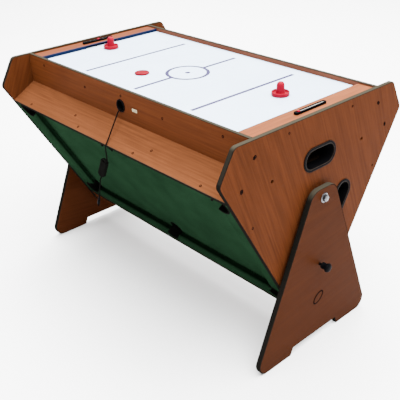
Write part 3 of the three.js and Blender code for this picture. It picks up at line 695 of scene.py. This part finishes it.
# ---- boards with their edge mouldings ----
CORNER_CUT = 118 * MM
PANEL_CORNER_R = 20 * MM
EDGE_GAP = 0.3 * MM
EDGE_OUT = 1.8 * MM
BOARD_EASE = 0.6 * MM
RETURN_HEIGHT = 134.6 * MM
RETURN_HOLE = (142 * MM, 68 * MM)
RETURN_OPEN = (137 * MM, 63 * MM)
LOCK_RADIUS = 252 * MM
LOCK_HOLE_R, PIN_HOLE_R = 6 * MM, 4.8 * MM
BORE_R = 8.6 * MM


def spun(outline, angle):
    """An outline turned about the pivot."""
    c, s = math.cos(angle), math.sin(angle)
    return lambda grow=0.0: [(a * c - b * s, a * s + b * c) for a, b in outline(grow)]


def panel_corners():
    """The triangle's sides lie at the rim's distance, and each corner is cut square across."""
    cut_distance = 2 * RIM - CORNER_CUT * math.cos(math.pi / 6)
    along = (cut_distance - RIM / 2) / math.sin(SIDE_TURN / 2)
    corners = []
    for i in range(3):
        angle = math.pi / 2 + i * SIDE_TURN
        for side in (-1, 1):
            a = RIM * math.cos(angle) - side * along * math.sin(angle)
            b = RIM * math.sin(angle) + side * along * math.cos(angle)
            corners.append((a, b, PANEL_CORNER_R))
    return corners


def edge_profile(low, high):
    """The bulging face of an edge moulding, a little wider than its board."""
    lip, bulge = 0.4 * MM, EDGE_OUT
    half = [(low - lip * 0.6, -0.9 * MM), (low - lip, 0.1 * MM), (low, 0.8 * MM)]
    half += [(low + 1.4 * MM, bulge * 0.85), (low + 4 * MM, bulge)]
    return half + [(low + high - x, grow) for x, grow in half[::-1]]


def edged_board(name, end, outline, holes, low, high, look):
    """A board and the moulding round its edge."""
    board = plate(f"{name}_{end}", outline, holes, low, high, BOARD_EASE, M[look])
    return board, band(f"{name}_edging_{end}", outline, edge_profile(low, high), M["edging"])


HOCKEY = SIDES["hockey"]
panel_outline = rounded(panel_corners(), 10)
return_hole = oval(0, RETURN_HEIGHT, *RETURN_HOLE)
lock_hole = circle(0, -LOCK_RADIUS, LOCK_HOLE_R, 24)
for end, turn in ENDS.items():
    holes = [circle(0, 0, BORE_R, 32), return_hole, spun(return_hole, -END_SIGNS[end] * SIDE_TURN)]
    holes += [spun(lock_hole, i * SIDE_TURN) for i in range(3)]
    board, edge = edged_board("end_board", end, panel_outline, holes, PANEL_IN, PANEL_OUT, "panel")
    put(board, "drum", "wood", f"end_panel_{end}", matrix=HOCKEY @ turn)
    put(edge, "drum", "edging", f"panel_edge_moulding_{end}", matrix=HOCKEY @ turn)

# (y, z, corner radius) in mm; the two upper corners' heights are above the pivot
LEG_CORNERS = [
    (302, 0, 38), (54, 36, 45), (-54, 36, 45), (-302, 0, 38),
    (-128, 0, 0), (-116, 29, 0), (116, 29, 0), (128, 0, 0),
]


def leg_corners():
    """The leg's corners above the floor, with room for the moulding under its feet."""
    corners = []
    for i, (y, z, radius) in enumerate(LEG_CORNERS):
        height = PIVOT.z + z * MM if i in (1, 2) else z * MM + EDGE_OUT
        corners.append((y * MM, height, radius * MM))
    return corners


leg_outline = rounded(leg_corners(), 12)
leg_holes = [circle(0, PIVOT.z, BORE_R, 32), circle(0, PIVOT.z - LOCK_RADIUS, PIN_HOLE_R, 24)]
for end, turn in ENDS.items():
    board, edge = edged_board("leg_board", end, leg_outline, leg_holes, LEG_IN, LEG_OUT, f"leg_{end}")
    put(board, "stand", "wood", f"leg_{end}", matrix=turn)
    put(edge, "stand", "edging", f"leg_edge_moulding_{end}", matrix=turn)

# ---- side rails: the frame's boards, with a moulding on each top edge ----
CAP_PROUD, CAP_SUNK, CAP_R = 1.3 * MM, 0.8 * MM, 0.9 * MM
cap_low, cap_high = RAIL_IN - EDGE_GAP, RAIL_OUT + EDGE_GAP
cap_section = rectangle(cap_low, RIM - CAP_SUNK, cap_high, RIM + CAP_PROUD, CAP_R)
for name, place in SIDES.items():
    for hand, turn in (("right", ENDS["near"]), ("left", ENDS["far"])):
        cap = plate(f"{name}_rail_cap_{hand}", cap_section, [], -INSIDE, INSIDE, 0, M["edging"])
        put(cap, "drum", "edging", matrix=place @ turn)

# ---- return openings ----
# a bezel's (place past the panel's outer or inner face, growth) pairs in mm
BEZEL_OUTER = [(0.1, 9.3), (2.0, 9.1), (3.2, 8.2), (3.7, 6.4), (3.7, 4.2), (3.0, 1.6), (1.2, 0.0), (-2, -0.6)]
BEZEL_INNER = [(-21, -0.6), (-21, 1.2), (-1, 1.2), (-1, 1.9)]
bezel_profile = [(PANEL_OUT + x * MM, grow * MM) for x, grow in BEZEL_OUTER]
bezel_profile += [(PANEL_IN + x * MM, grow * MM) for x, grow in BEZEL_INNER]
bezel_profile.append((PANEL_OUT + 0.1 * MM, 1.9 * MM))
return_open = oval(0, RETURN_HEIGHT, *RETURN_OPEN, count=24)
for side in ("hockey", "bumper"):
    for end, turn in ENDS.items():
        bezel = band(f"{side}_return_bezel_{end}", return_open, bezel_profile, M["black"])
        put(bezel, "drum", "black_plastic", matrix=SIDES[side] @ turn)

# ---- pivots and locks ----
BOLT_R, HEX_R = 8 * MM, 12 * MM
NUT_LOW, NUT_HIGH = PANEL_IN - 8.3 * MM, PANEL_IN - EDGE_GAP
WASHER = [(9, 0.3), (16.4, 0.3), (17, 0.8), (16.8, 1.6), (15.2, 2.4), (9, 2.6)]
DOME = [(0, 10.2), (9.6, 10.2), (8.6, 10.9), (0, 11)]
_, knob_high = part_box("lock_knob_near")
KNOB_R = knob_high.y
KNOB_FACE = knob_high.x - 31 * MM
# (share of the knob's radius, place along it in mm) pairs
KNOB_PROFILE = [
    (0, 0), (0.68, 0), (0.72, 0.6), (0.72, 1.8), (0.68, 2.4), (0.72, 3), (0.72, 4.6), (0.68, 5.2),
    (0.72, 5.8), (0.71, 8), (0.68, 10.5), (0.66, 13), (0.74, 15.2), (0.88, 17.2), (0.97, 19), (1.0, 21.2),
    (1.0, 23.6), (0.97, 25.6), (0.9, 27.4), (0.78, 28.9), (0.6, 30), (0.34, 30.8), (0, 31),
]
FLUTES, FLUTE_DEPTH, KNOB_POINTS = 8, 0.10, 64
PIN_R, PIN_TIP_R = 4.5 * MM, 3.6 * MM
pivot_centre, lock_centre = (0, PIVOT.z), (0, PIVOT.z - LOCK_RADIUS)


def fluted_ring(share, t):
    """One ring of the grip, whose widest part has shallow flutes."""
    depth = FLUTE_DEPTH * min(max((share - 0.74) / 0.2, 0), 1)
    ring = []
    for i in range(KNOB_POINTS):
        angle = 2 * math.pi * i / KNOB_POINTS
        radius = KNOB_R * share * (1 - depth * (0.5 - 0.5 * math.cos(FLUTES * angle)))
        a, b = radius * math.cos(angle), radius * math.sin(angle)
        ring.append((KNOB_FACE + t * MM, lock_centre[0] + a, lock_centre[1] + b))
    return ring


for end, turn in ENDS.items():
    steel, hexagon = M["steel"], circle(*pivot_centre, HEX_R, 6)
    washer, dome = in_mm(WASHER, LEG_OUT), in_mm(DOME, LEG_OUT)
    parts = [
        turned("washer", washer, steel, ALONG_X, pivot_centre, closed=True),
        plate("hex", hexagon, [], LEG_OUT + 2 * MM, LEG_OUT + 10.6 * MM, 1.3 * MM, steel),
        turned("dome", dome, steel, ALONG_X, pivot_centre),
        rod("shank", BOLT_R, PANEL_IN - 8 * MM, LEG_OUT + 4 * MM, steel, ALONG_X, pivot_centre),
        plate("nut", hexagon, [], NUT_LOW, NUT_HIGH, 0.8 * MM, steel),
    ]
    put(joined(f"pivot_hardware_{end}", parts), "stand", "steel", f"pivot_bolt_{end}", matrix=turn)

    grip = skin("grip", [fluted_ring(share, t) for share, t in KNOB_PROFILE], M["black"], angle=60)
    pin_low, pin_high = PANEL_OUT + 1 * MM, KNOB_FACE + 0.5 * MM
    pin_profile = [(0, pin_low), (PIN_TIP_R, pin_low), (PIN_R, pin_low + 1 * MM)]
    pin_profile += [(PIN_R, pin_high), (0, pin_high)]
    pin = turned("pin", pin_profile, M["screw"], ALONG_X, lock_centre, 32)
    knob = joined(f"pull_knob_{end}", [grip, pin])
    put(knob, f"lock_{end}", "black_plastic", f"lock_knob_{end}", matrix=turn)

# ---- hockey side ----
def upright(name, outline, holes, low, high, edge, look):
    """A plate whose thickness is along Z."""
    return plate(name, outline, holes, low, high, edge, M[look], ALONG_Z)


def box_outline(half_a, half_b, radius=0.0):
    return rectangle(-half_a, -half_b, half_a, half_b, radius)


GOAL_HALF, GOAL_HEIGHT, GOAL_CORNER_R = 78 * MM, 8 * MM, 3 * MM
THIN_EASE = 0.2 * MM
goal_near, goal_far = PLAY_END + 10 * MM, PANEL_IN - 6 * MM
goal_slots = [
    rectangle(goal_near, -GOAL_HALF, goal_far, GOAL_HALF, GOAL_CORNER_R),
    rectangle(-goal_far, -GOAL_HALF, -goal_near, GOAL_HALF, GOAL_CORNER_R),
]
tray = box_outline(INSIDE, TRAY_HALF)
field_low_z = SURFACE - (field_high.z - field_low.z)
field = upright("rink_board", tray, goal_slots, field_low_z, SURFACE, THIN_EASE, "rink")
put(field, "drum", "hockey_surface", "hockey_playfield", matrix=HOCKEY)

FACING, SHADOW_LIP_WIDTH = 0.9 * MM, 6 * MM
SCORER_X = 562 * MM
WIRE_R, WIRE_HALF, WIRE_HEIGHT = 0.8 * MM, 64 * MM, 6 * MM
BEAD_SHAPE = [
    (1.4, -0.9), (3.6, -1.0), (4.7, -0.85), (5.2, -0.4), (5.3, 0),
    (5.2, 0.4), (4.7, 0.85), (3.6, 1.0), (1.4, 0.9),
]
face_low, face_high = SURFACE + 0.2 * MM, STRIP_TOP + 0.3 * MM
mouth_top = face_low + GOAL_HEIGHT
facing_corners = [
    (-TRAY_HALF, face_low), (-GOAL_HALF, face_low), (-GOAL_HALF, mouth_top), (GOAL_HALF, mouth_top),
    (GOAL_HALF, face_low), (TRAY_HALF, face_low), (TRAY_HALF, face_high), (-TRAY_HALF, face_high),
]
facing_outline = rounded([(a, b, 0) for a, b in facing_corners])
shadow_lip_outline = rectangle(PLAY_END - FACING, -TRAY_HALF, PLAY_END + SHADOW_LIP_WIDTH, TRAY_HALF)
scorer_base = STRIP_TOP + EDGE_GAP
wire_height = scorer_base + WIRE_HEIGHT
bar = rectangle(SCORER_X - 7.5 * MM, -71.5 * MM, SCORER_X + 7.5 * MM, 71.5 * MM, 5 * MM)
groove = rectangle(SCORER_X - 3 * MM, -62 * MM, SCORER_X + 3 * MM, 62 * MM, 2.9 * MM)
for end, turn in ENDS.items():
    place = HOCKEY @ turn
    parts = [plate("face", facing_outline, [], PLAY_END - FACING, PLAY_END, THIN_EASE, M["navy"])]
    # at the far end a thin navy lip over the strip's top edge widens the facing's dark band: painted shadow
    # along that edge
    if end == "far":
        lip_low, lip_high = STRIP_TOP + 0.1 * MM, STRIP_TOP + 0.8 * MM
        parts.append(upright("lip", shadow_lip_outline, [], lip_low, lip_high, THIN_EASE, "navy"))
    put(joined(f"goal_facing_{end}", parts), "drum", "edging", matrix=place)

    wire_centre = (SCORER_X, wire_height)
    parts = [
        upright("base", bar, [], scorer_base, scorer_base + 2 * MM, 0.3 * MM, "black"),
        upright("sides", bar, [groove], scorer_base + 1.9 * MM, scorer_base + 8 * MM, 0.9 * MM, "black"),
        rod("wire", WIRE_R, -WIRE_HALF, WIRE_HALF, M["white"], ALONG_Y, wire_centre, 16),
    ]
    scorer = joined(f"slide_scorer_{end}", parts)
    put(scorer, "drum", "black_plastic", f"scorer_bar_{end}", matrix=place)

    low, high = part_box(f"scorer_bead_{end}")
    centre, half = (low + high) / 2, (high.y - low.y) / 2
    profile = [(r * MM, centre.y + t * half) for r, t in BEAD_SHAPE]
    bead_centre = (centre.x, PIVOT.z + wire_height)
    bead = turned(f"bead_{end}", profile, M["red"], ALONG_Y, bead_centre, 32, closed=True)
    put(bead, f"bead_{end}", "red_plastic", f"scorer_bead_{end}")

PUSHER_PROFILE = [
    (0, 0.2), (24, 0.2), (28.8, 0.4), (29.8, 1.4), (30, 3), (30, 10.4), (29.7, 12.2), (28.9, 13),
    (27.6, 13.1), (26.6, 12.2), (25.8, 9.4), (24.6, 6.6), (22.5, 5.0), (19, 4.5), (16.8, 5.0),
    (15.5, 7), (14.4, 12), (13.6, 20), (13.3, 28), (13.0, 34), (12.2, 38.5), (10.4, 42.2),
    (7.4, 44.8), (3.8, 46.0), (0, 46.2),
]
PUCK_PROFILE = [
    (0, 0.9), (17, 0.9), (18, 0.2), (24.6, 0.2), (26, 0.8), (26.5, 1.8), (26.5, 4.0), (26, 5.0),
    (24.6, 5.5), (18, 5.5), (17, 4.8), (0, 4.8),
]


def loose_piece(name, node, shape, look, angle=SHARP_ANGLE):
    """A turned piece that stands where its node does, on a body of the same name."""
    low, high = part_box(node)
    centre = (low + high) / 2
    profile = in_mm(shape, low.z)
    piece = turned(name, profile, M[look], ALONG_Z, (centre.x, centre.y), 64, angle=angle)
    put(piece, node, "red_plastic", node)


for end in ENDS:
    loose_piece(f"hand_pusher_{end}", f"pusher_{end}", PUSHER_PROFILE, "red", 50)
loose_piece("hockey_puck", "puck", PUCK_PROFILE, "red_puck_shaded")

# ---- switch and grommet ----
switch_low, switch_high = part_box("switch_body")
switch_centre = (switch_low + switch_high) / 2
outer_y = -RAIL_OUT


def switch_outline(x, z, radius):
    """The switch's front with margins at its ends and sides, in mm."""
    a, b = x * MM, z * MM
    return rectangle(switch_low.x + a, switch_low.z + b, switch_high.x - a, switch_high.z - b, radius * MM)


frame_outline = switch_outline(0, 0, 1.6)
window, can = switch_outline(4, 2, 0.4), switch_outline(2, 1, 0.6)
# outline, holes, then where it starts and ends behind the rail's face and its eased edge in mm
SWITCH_LAYERS = [
    (frame_outline, [window], -2, -0.2, 0.5),
    (can, [window], -0.5, 10, 0.2),
    (can, [], 9.9, 20, 0.4),
]
parts = [
    plate("layer", outline, holes, outer_y + a * MM, outer_y + b * MM, ease * MM, M["cream"], ALONG_Y)
    for outline, holes, a, b, ease in SWITCH_LAYERS
]
put(joined("power_switch", parts), "drum", "cream_plastic", "switch_body")
KEY_HALF, KEY_TILT = 2.7 * MM, math.radians(10)
KEY_CORNERS = [(-8.2, 3.2, 0.6), (-8.2, -3, 0.8), (-3, -1.2, 4), (3, -1.2, 4), (8.2, -3, 0.8), (8.2, 3.2, 0.6)]
key_outline = spun(rounded([tuple(v * MM for v in corner) for corner in KEY_CORNERS]), KEY_TILT)
key = upright("rocker_key", key_outline, [], -KEY_HALF, KEY_HALF, 0.4 * MM, "cream")
key.data.transform(Matrix.Translation((switch_centre.x, outer_y, switch_centre.z)))
put(key, "rocker", "cream_plastic", "switch_rocker")

low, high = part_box("cable_grommet")
grommet_centre = ((low.x + high.x) / 2, (low.z + high.z) / 2)
GROMMET_PROFILE = [
    (0, 13.6), (18.7, 13.6), (19, 13.2), (19, -0.2), (22.5, -0.2), (22.5, -1.6), (21.8, -3.0), (20.2, -3.8),
    (18.4, -3.5), (17.2, -2.2), (16.8, -0.6), (16.8, 12), (0, 12),
]
RELIEF_PROFILE = [(0, 12.6), (3.6, 12.6), (3.6, -1.2), (3.2, -2.2), (2.6, -2.7), (0, -2.7)]
cord_x, _, cord_z = (v * MM for v in CORD_LEAD[0])
parts = [
    turned("part", in_mm(shape, outer_y), M["black"], ALONG_Y, centre, 48)
    for shape, centre in ((GROMMET_PROFILE, grommet_centre), (RELIEF_PROFILE, (cord_x, cord_z)))
]
put(joined("cord_grommet", parts), "drum", "black_plastic", "cable_grommet")

# ---- cloth sides ----
BED, BED_THICK = RIM - 34 * MM, 12 * MM
CUSHION_TOP = RIM - 4 * MM
NOSE, INNER_CORNER_R = 264 * MM, 6 * MM
POCKET_R, POCKET_FLOOR = 31 * MM, RIM - 88 * MM
POCKETS = {
    f"{hand}_{place}": (x * MM, sign * 254 * MM)
    for hand, sign in HANDS.items()
    for place, x in (("near", 548), ("middle", 0), ("far", -548))
}
POST_R, END_POST_Y = 8 * MM, 95 * MM
BALL_HOLE, BALL_HOLE_R = 470 * MM, 24 * MM
CENTRE_POSTS = [p for d in (70 * MM, 130 * MM) for p in ((d, 0), (-d, 0), (0, d), (0, -d))]
END_POSTS = {end: [(s * BALL_HOLE, y) for y in (-END_POST_Y, END_POST_Y)] for end, s in END_SIGNS.items()}
# (height over the bed, growth of the outline) pairs in mm
CUSHION_NOSE = [
    (0.6, 7.0), (7.0, 5.6), (14.0, 2.4), (17.4, 0.4), (19.2, 0.0), (21.0, 0.5),
    (23.4, 2.2), (26.4, 5.6), (28.6, 10.5), (29.6, 15.0),
]
CUSHION_BACK = [(30.2, -9.0), (31.6, -4.0), (33.2, -1.4), (33.4, 0.0), (0.6, 0.0)]


def cloth_bed(side, holes):
    bed = upright(f"{side}_cloth_bed", tray, holes, BED - BED_THICK, BED, BOARD_EASE, "cloth")
    put(bed, "drum", "bed_board", f"{side}_bed", matrix=SIDES[side])


def cushion_ring(side, pockets, *nodes):
    """Cloth-covered cushions: a crowned top, a nose that overhangs, and its undercut."""
    inner = box_outline(PLAY_END, NOSE, INNER_CORNER_R)
    outer = box_outline(INSIDE, TRAY_HALF, INNER_CORNER_R)
    rings = []
    for outline, section in ((inner, CUSHION_NOSE), (outer, CUSHION_BACK)):
        rings += [[(a, b, BED + z * MM) for a, b in outline(grow * MM)] for z, grow in section]
    ring = skin(f"{side}_cushion_ring", rings, M["cloth"], closed=True, angle=50)
    bite_r, bite_top = POCKET_R + 0.4 * MM, RIM + 5 * MM
    bites = [rod("bite", bite_r, BED, bite_top, M["cloth"], ALONG_Z, centre, 64) for centre in pockets]
    if bites:
        cut(ring, *bites)
    put(ring, "drum", "cloth", *nodes, matrix=SIDES[side])


cloth_bed("pool", [circle(*centre, POCKET_R, 64) for centre in POCKETS.values()])
pool_cushions = [f"pool_cushion_{part}" for part in ("left", "right", "end_near", "end_far")]
cushion_ring("pool", list(POCKETS.values()), *pool_cushions)

# (growth past the cup's radius, height over a base) pairs in mm
CUP_WALL = [(-9, 0), (-2.5, 2.5), (0, 9)]
CUP_LIP = [(0, 0.2), (3.4, 0.2), (3.8, 0.8), (3, 1.7), (1, 2.2), (-1.4, 1.8), (-2.7, 1)]
CUP_LINING = [(-2.7, 10), (-5, 5), (-10, 2.7)]
cup_r = POCKET_R - EDGE_GAP
cup_profile = [(0, POCKET_FLOOR)]
for section, base in ((CUP_WALL, POCKET_FLOOR), (CUP_LIP, CUSHION_TOP), (CUP_LINING, POCKET_FLOOR)):
    cup_profile += [(cup_r + grow * MM, base + z * MM) for grow, z in section]
cup_profile.append((0, POCKET_FLOOR + 2.7 * MM))
surround = box_outline(2 * INSIDE, 2 * TRAY_HALF)
for name, centre in POCKETS.items():
    cup = turned(f"pocket_liner_{name}", cup_profile, M["rubber"], ALONG_Z, centre, 64)
    play = upright("play", box_outline(PLAY_END, NOSE), [], BED - 0.1 * MM, RIM + 20 * MM, 0, "black")
    outside = upright("outside", surround, [tray], 0, 2 * RIM, 0, "black")
    cut(cup, play, outside)
    put(cup, "drum", "black_plastic", f"pocket_{name}", matrix=SIDES["pool"])

posts = CENTRE_POSTS + END_POSTS["near"] + END_POSTS["far"]
post_holes = [circle(*centre, POST_R + EDGE_GAP, 24) for centre in posts]
ball_holes = [circle(s * BALL_HOLE, 0, BALL_HOLE_R, 48) for s in (-1, 1)]
cloth_bed("bumper", post_holes + ball_holes)
cushion_ring("bumper", [], "bumper_cushions")

BUMPER_BODY = [
    (0, 0.4), (16.5, 0.4), (17.4, 1), (17.6, 4.4), (16.4, 6), (15.5, 7), (15.5, 17),
    (17.2, 18.4), (17.4, 20.6), (16, 22.6), (12, 24.8), (9, 25.4), (0, 25.5),
]
BUMPER_TYRE = [
    (15.3, 7.4), (17.6, 6.8), (20.0, 8.2), (21.0, 11), (21.0, 13.2), (20.0, 16), (17.6, 17.4),
    (15.3, 16.8),
]
BUMPER_SCREW = [(0, 25.2), (5.4, 25.2), (5.6, 25.8), (4.6, 26.8), (2, 27), (0, 27)]
BUMPER_SHAPES = (("white", BUMPER_BODY), ("red", BUMPER_TYRE), ("screw", BUMPER_SCREW))
LINER_PROFILE = [
    (24.0, -11), (24.0, 0.1), (27.4, 0.1), (28.2, 0.5), (27.6, 1.1), (25, 1.7), (22.6, 1.2),
    (22.0, -0.4), (22.0, -11),
]
LINER_GAP = 0.2 * MM
# the board strips that carry the near pair of posts, in mm
END_STRIPS = [(500, -113, 514, 113), (452, -113, 502, -77), (452, 77, 502, 113)]


def bumper(centre):
    """A post with its cap, its tyre and its screw."""
    parts = []
    for look, shape in BUMPER_SHAPES:
        parts.append(turned("part", in_mm(shape, BED), M[look], ALONG_Z, centre, 40, closed=look == "red"))
    parts.append(rod("post", POST_R, BED - 23 * MM, BED + 1 * MM, M["white"], ALONG_Z, centre, 24))
    return parts


def strip(a0, b0, a1, b1, radius):
    """A strip of board under the bed that carries posts, all in mm."""
    top = BED - BED_THICK - EDGE_GAP
    outline = rectangle(a0 * MM, b0 * MM, a1 * MM, b1 * MM, radius * MM)
    return upright("strip", outline, [], top - 10 * MM, top, BOARD_EASE, "board")


parts = [strip(-150, -15, 150, 15, 3), strip(-15, -150, 15, 150, 3)]
parts += [part for centre in CENTRE_POSTS for part in bumper(centre)]
put(joined("bumper_cluster", parts), "drum", "red_plastic", "centre_bumpers", matrix=SIDES["bumper"])
for end, sign in END_SIGNS.items():
    parts = []
    for x0, y0, x1, y1 in END_STRIPS:
        x0, x1 = sorted((sign * x0, sign * x1))
        parts.append(strip(x0, y0, x1, y1, 2))
    parts += [part for centre in END_POSTS[end] for part in bumper(centre)]
    pair = joined(f"bumper_pair_{end}", parts)
    put(pair, "drum", "red_plastic", f"end_bumpers_{end}", matrix=SIDES["bumper"])
    profile = [(r * MM - LINER_GAP, BED + t * MM) for r, t in LINER_PROFILE]
    hole = (sign * BALL_HOLE, 0)
    ring = turned(f"ball_hole_liner_{end}", profile, M["black"], ALONG_Z, hole, 56, closed=True)
    put(ring, "drum", "black_plastic", matrix=SIDES["bumper"])

# ---- screws ----
SCREW_PROFILE = [(0, -0.4), (1.7, -0.4), (1.9, 0.3), (3.4, 0.7), (3.9, 0.4), (4.0, -0.3), (0, -0.6)]
SCREW_PROFILE_R = 4
# (y, z, head radius) in mm from the pivot
PANEL_SCREWS = [(296, 228, 5.6), (346, 138, 5.6), (150.5, 257.4, 4.2)]
RAIL_SCREW_R = 4.6 * MM
# (x, drop from the rim) in mm
SLANTED_SCREWS = [(480, 15), (158, 15), (-158, 15), (-480, 15), (218, 50), (-218, 50)]
RAIL_SCREWS = {
    "hockey": [(490, 25), (0, 25), (-490, 25), (217, 46), (-217, 46)],
    "pool": SLANTED_SCREWS,
    "bumper": SLANTED_SCREWS,
}


def screw_heads(name, places, body, matrix):
    """Countersunk socket screws: (point, outward direction, head radius) each."""
    heads = []
    for point, normal, radius in places:
        r = radius / SCREW_PROFILE_R
        profile = [(a * r, t * MM) for a, t in SCREW_PROFILE]
        head = turned("head", profile, M["screw"], ALONG_Z, count=20)
        turn = Vector((0, 0, 1)).rotation_difference(Vector(normal)).to_matrix().to_4x4()
        head.matrix_world = Matrix.Translation(Vector(point)) @ turn
        bpy.context.view_layer.update()
        heads.append(head)
    put(joined(name, heads), body, "steel", matrix=matrix)


panel_places = []
for i in range(3):
    c, s = math.cos(i * SIDE_TURN), math.sin(i * SIDE_TURN)
    for y, z, radius in PANEL_SCREWS:
        for sign in (-1, 1):
            a, b = sign * y * MM, z * MM
            panel_places.append(((PANEL_OUT, a * c - b * s, a * s + b * c), (1, 0, 0), radius * MM))
for end, turn in ENDS.items():
    screw_heads(f"panel_screws_{end}", panel_places, "drum", HOCKEY @ turn)
for side, places in RAIL_SCREWS.items():
    for hand, sign in HANDS.items():
        out = (0, sign, 0)
        points = [((x * MM, sign * RAIL_OUT, RIM - drop * MM), out, RAIL_SCREW_R) for x, drop in places]
        screw_heads(f"{side}_rail_screws_{hand}", points, "drum", SIDES[side])

# ---- a plain badge on the near leg, with no mark on it ----
BADGE_PLACE = Vector((LEG_OUT, 6 * MM, 181 * MM))
BADGE_TILT = math.radians(38)
badge_edge, badge_field = ellipse(29 * MM, 18 * MM), ellipse(24 * MM, 13.5 * MM)
parts = [
    plate("rim", badge_edge, [badge_field], 0.1 * MM, 1 * MM, 0.3 * MM, M["screw"]),
    plate("field", badge_field, [], 0.1 * MM, 0.5 * MM, 0.1 * MM, M["leg_near"]),
]
badge_matrix = Matrix.Translation(BADGE_PLACE) @ Matrix.Rotation(BADGE_TILT, 4, "X")
put(joined("leg_badge", parts), "stand", "black_plastic", matrix=badge_matrix)

# ---- the frame's own nodes that stay, with better materials ----
KEPT = {
    "rail": ["bumper_rail_left", "bumper_rail_right"],
    "rail_lit_inner_left": ["hockey_rail_left"],
    "rail_lit_inner_right": ["hockey_rail_right"],
    "rail_sheen": ["pool_rail_left", "pool_rail_right"],
    "strip": ["hockey_end_strip_near"],
    "strip_shaded": ["hockey_end_strip_far"],
    "board": ["inner_frame"],
    "black": ["blower_housing", "blower_impeller", "pivot_spacer_near", "pivot_spacer_far"],
    "cup": [f"{game}_return_cup_{end}" for game in ("puck", "ball") for end in ENDS],
}
for look, nodes in KEPT.items():
    for node in nodes:
        for slot in frame["nodes"][node].material_slots:
            slot.material = M[look]

# ---- stage ----
FLOOR_HALF = 14
dim, even, bright = ((tone, tone, tone, 1) for tone in (0.92, 0.93, 0.94))


def soft_light(name, place, target, size, power):
    light = bpy.data.lights.new(name, "AREA")
    light.shape = "RECTANGLE"
    light.size, light.size_y = size
    light.energy = power
    obj = linked(name, light)
    obj.location = place
    obj.rotation_euler = (Vector(target) - Vector(place)).to_track_quat("-Z", "Y").to_euler()


floor_shader = Shader("floor_white", even, 0.9)
floor_tone = floor_shader.noise(floor_shader.place, scale=0.6, detail=1)
floor_shader.color(floor_shader.ramp(floor_tone, (0.3, dim), (0.7, bright)))
corners = [(a * FLOOR_HALF, b * FLOOR_HALF, 0) for a, b in ((-1, -1), (1, -1), (1, 1), (-1, 1))]
floor = mesh_object("floor", corners, [(0, 1, 2, 3)], floor_shader.material)

soft_light("top_box", (0.8, 0.2, 5.5), (0, 0, 0), (7.5, 7.5), 4000)
soft_light("back_wash", (-4.2, 3.9, 5), (-4.2, 3.9, 0), (7, 7), 1800)
world = bpy.data.worlds.new("studio")
world.use_nodes = True
background = world.node_tree.nodes["Background"]
background.inputs["Color"].default_value = WHITE
background.inputs["Strength"].default_value = 1.0
scene.world = world
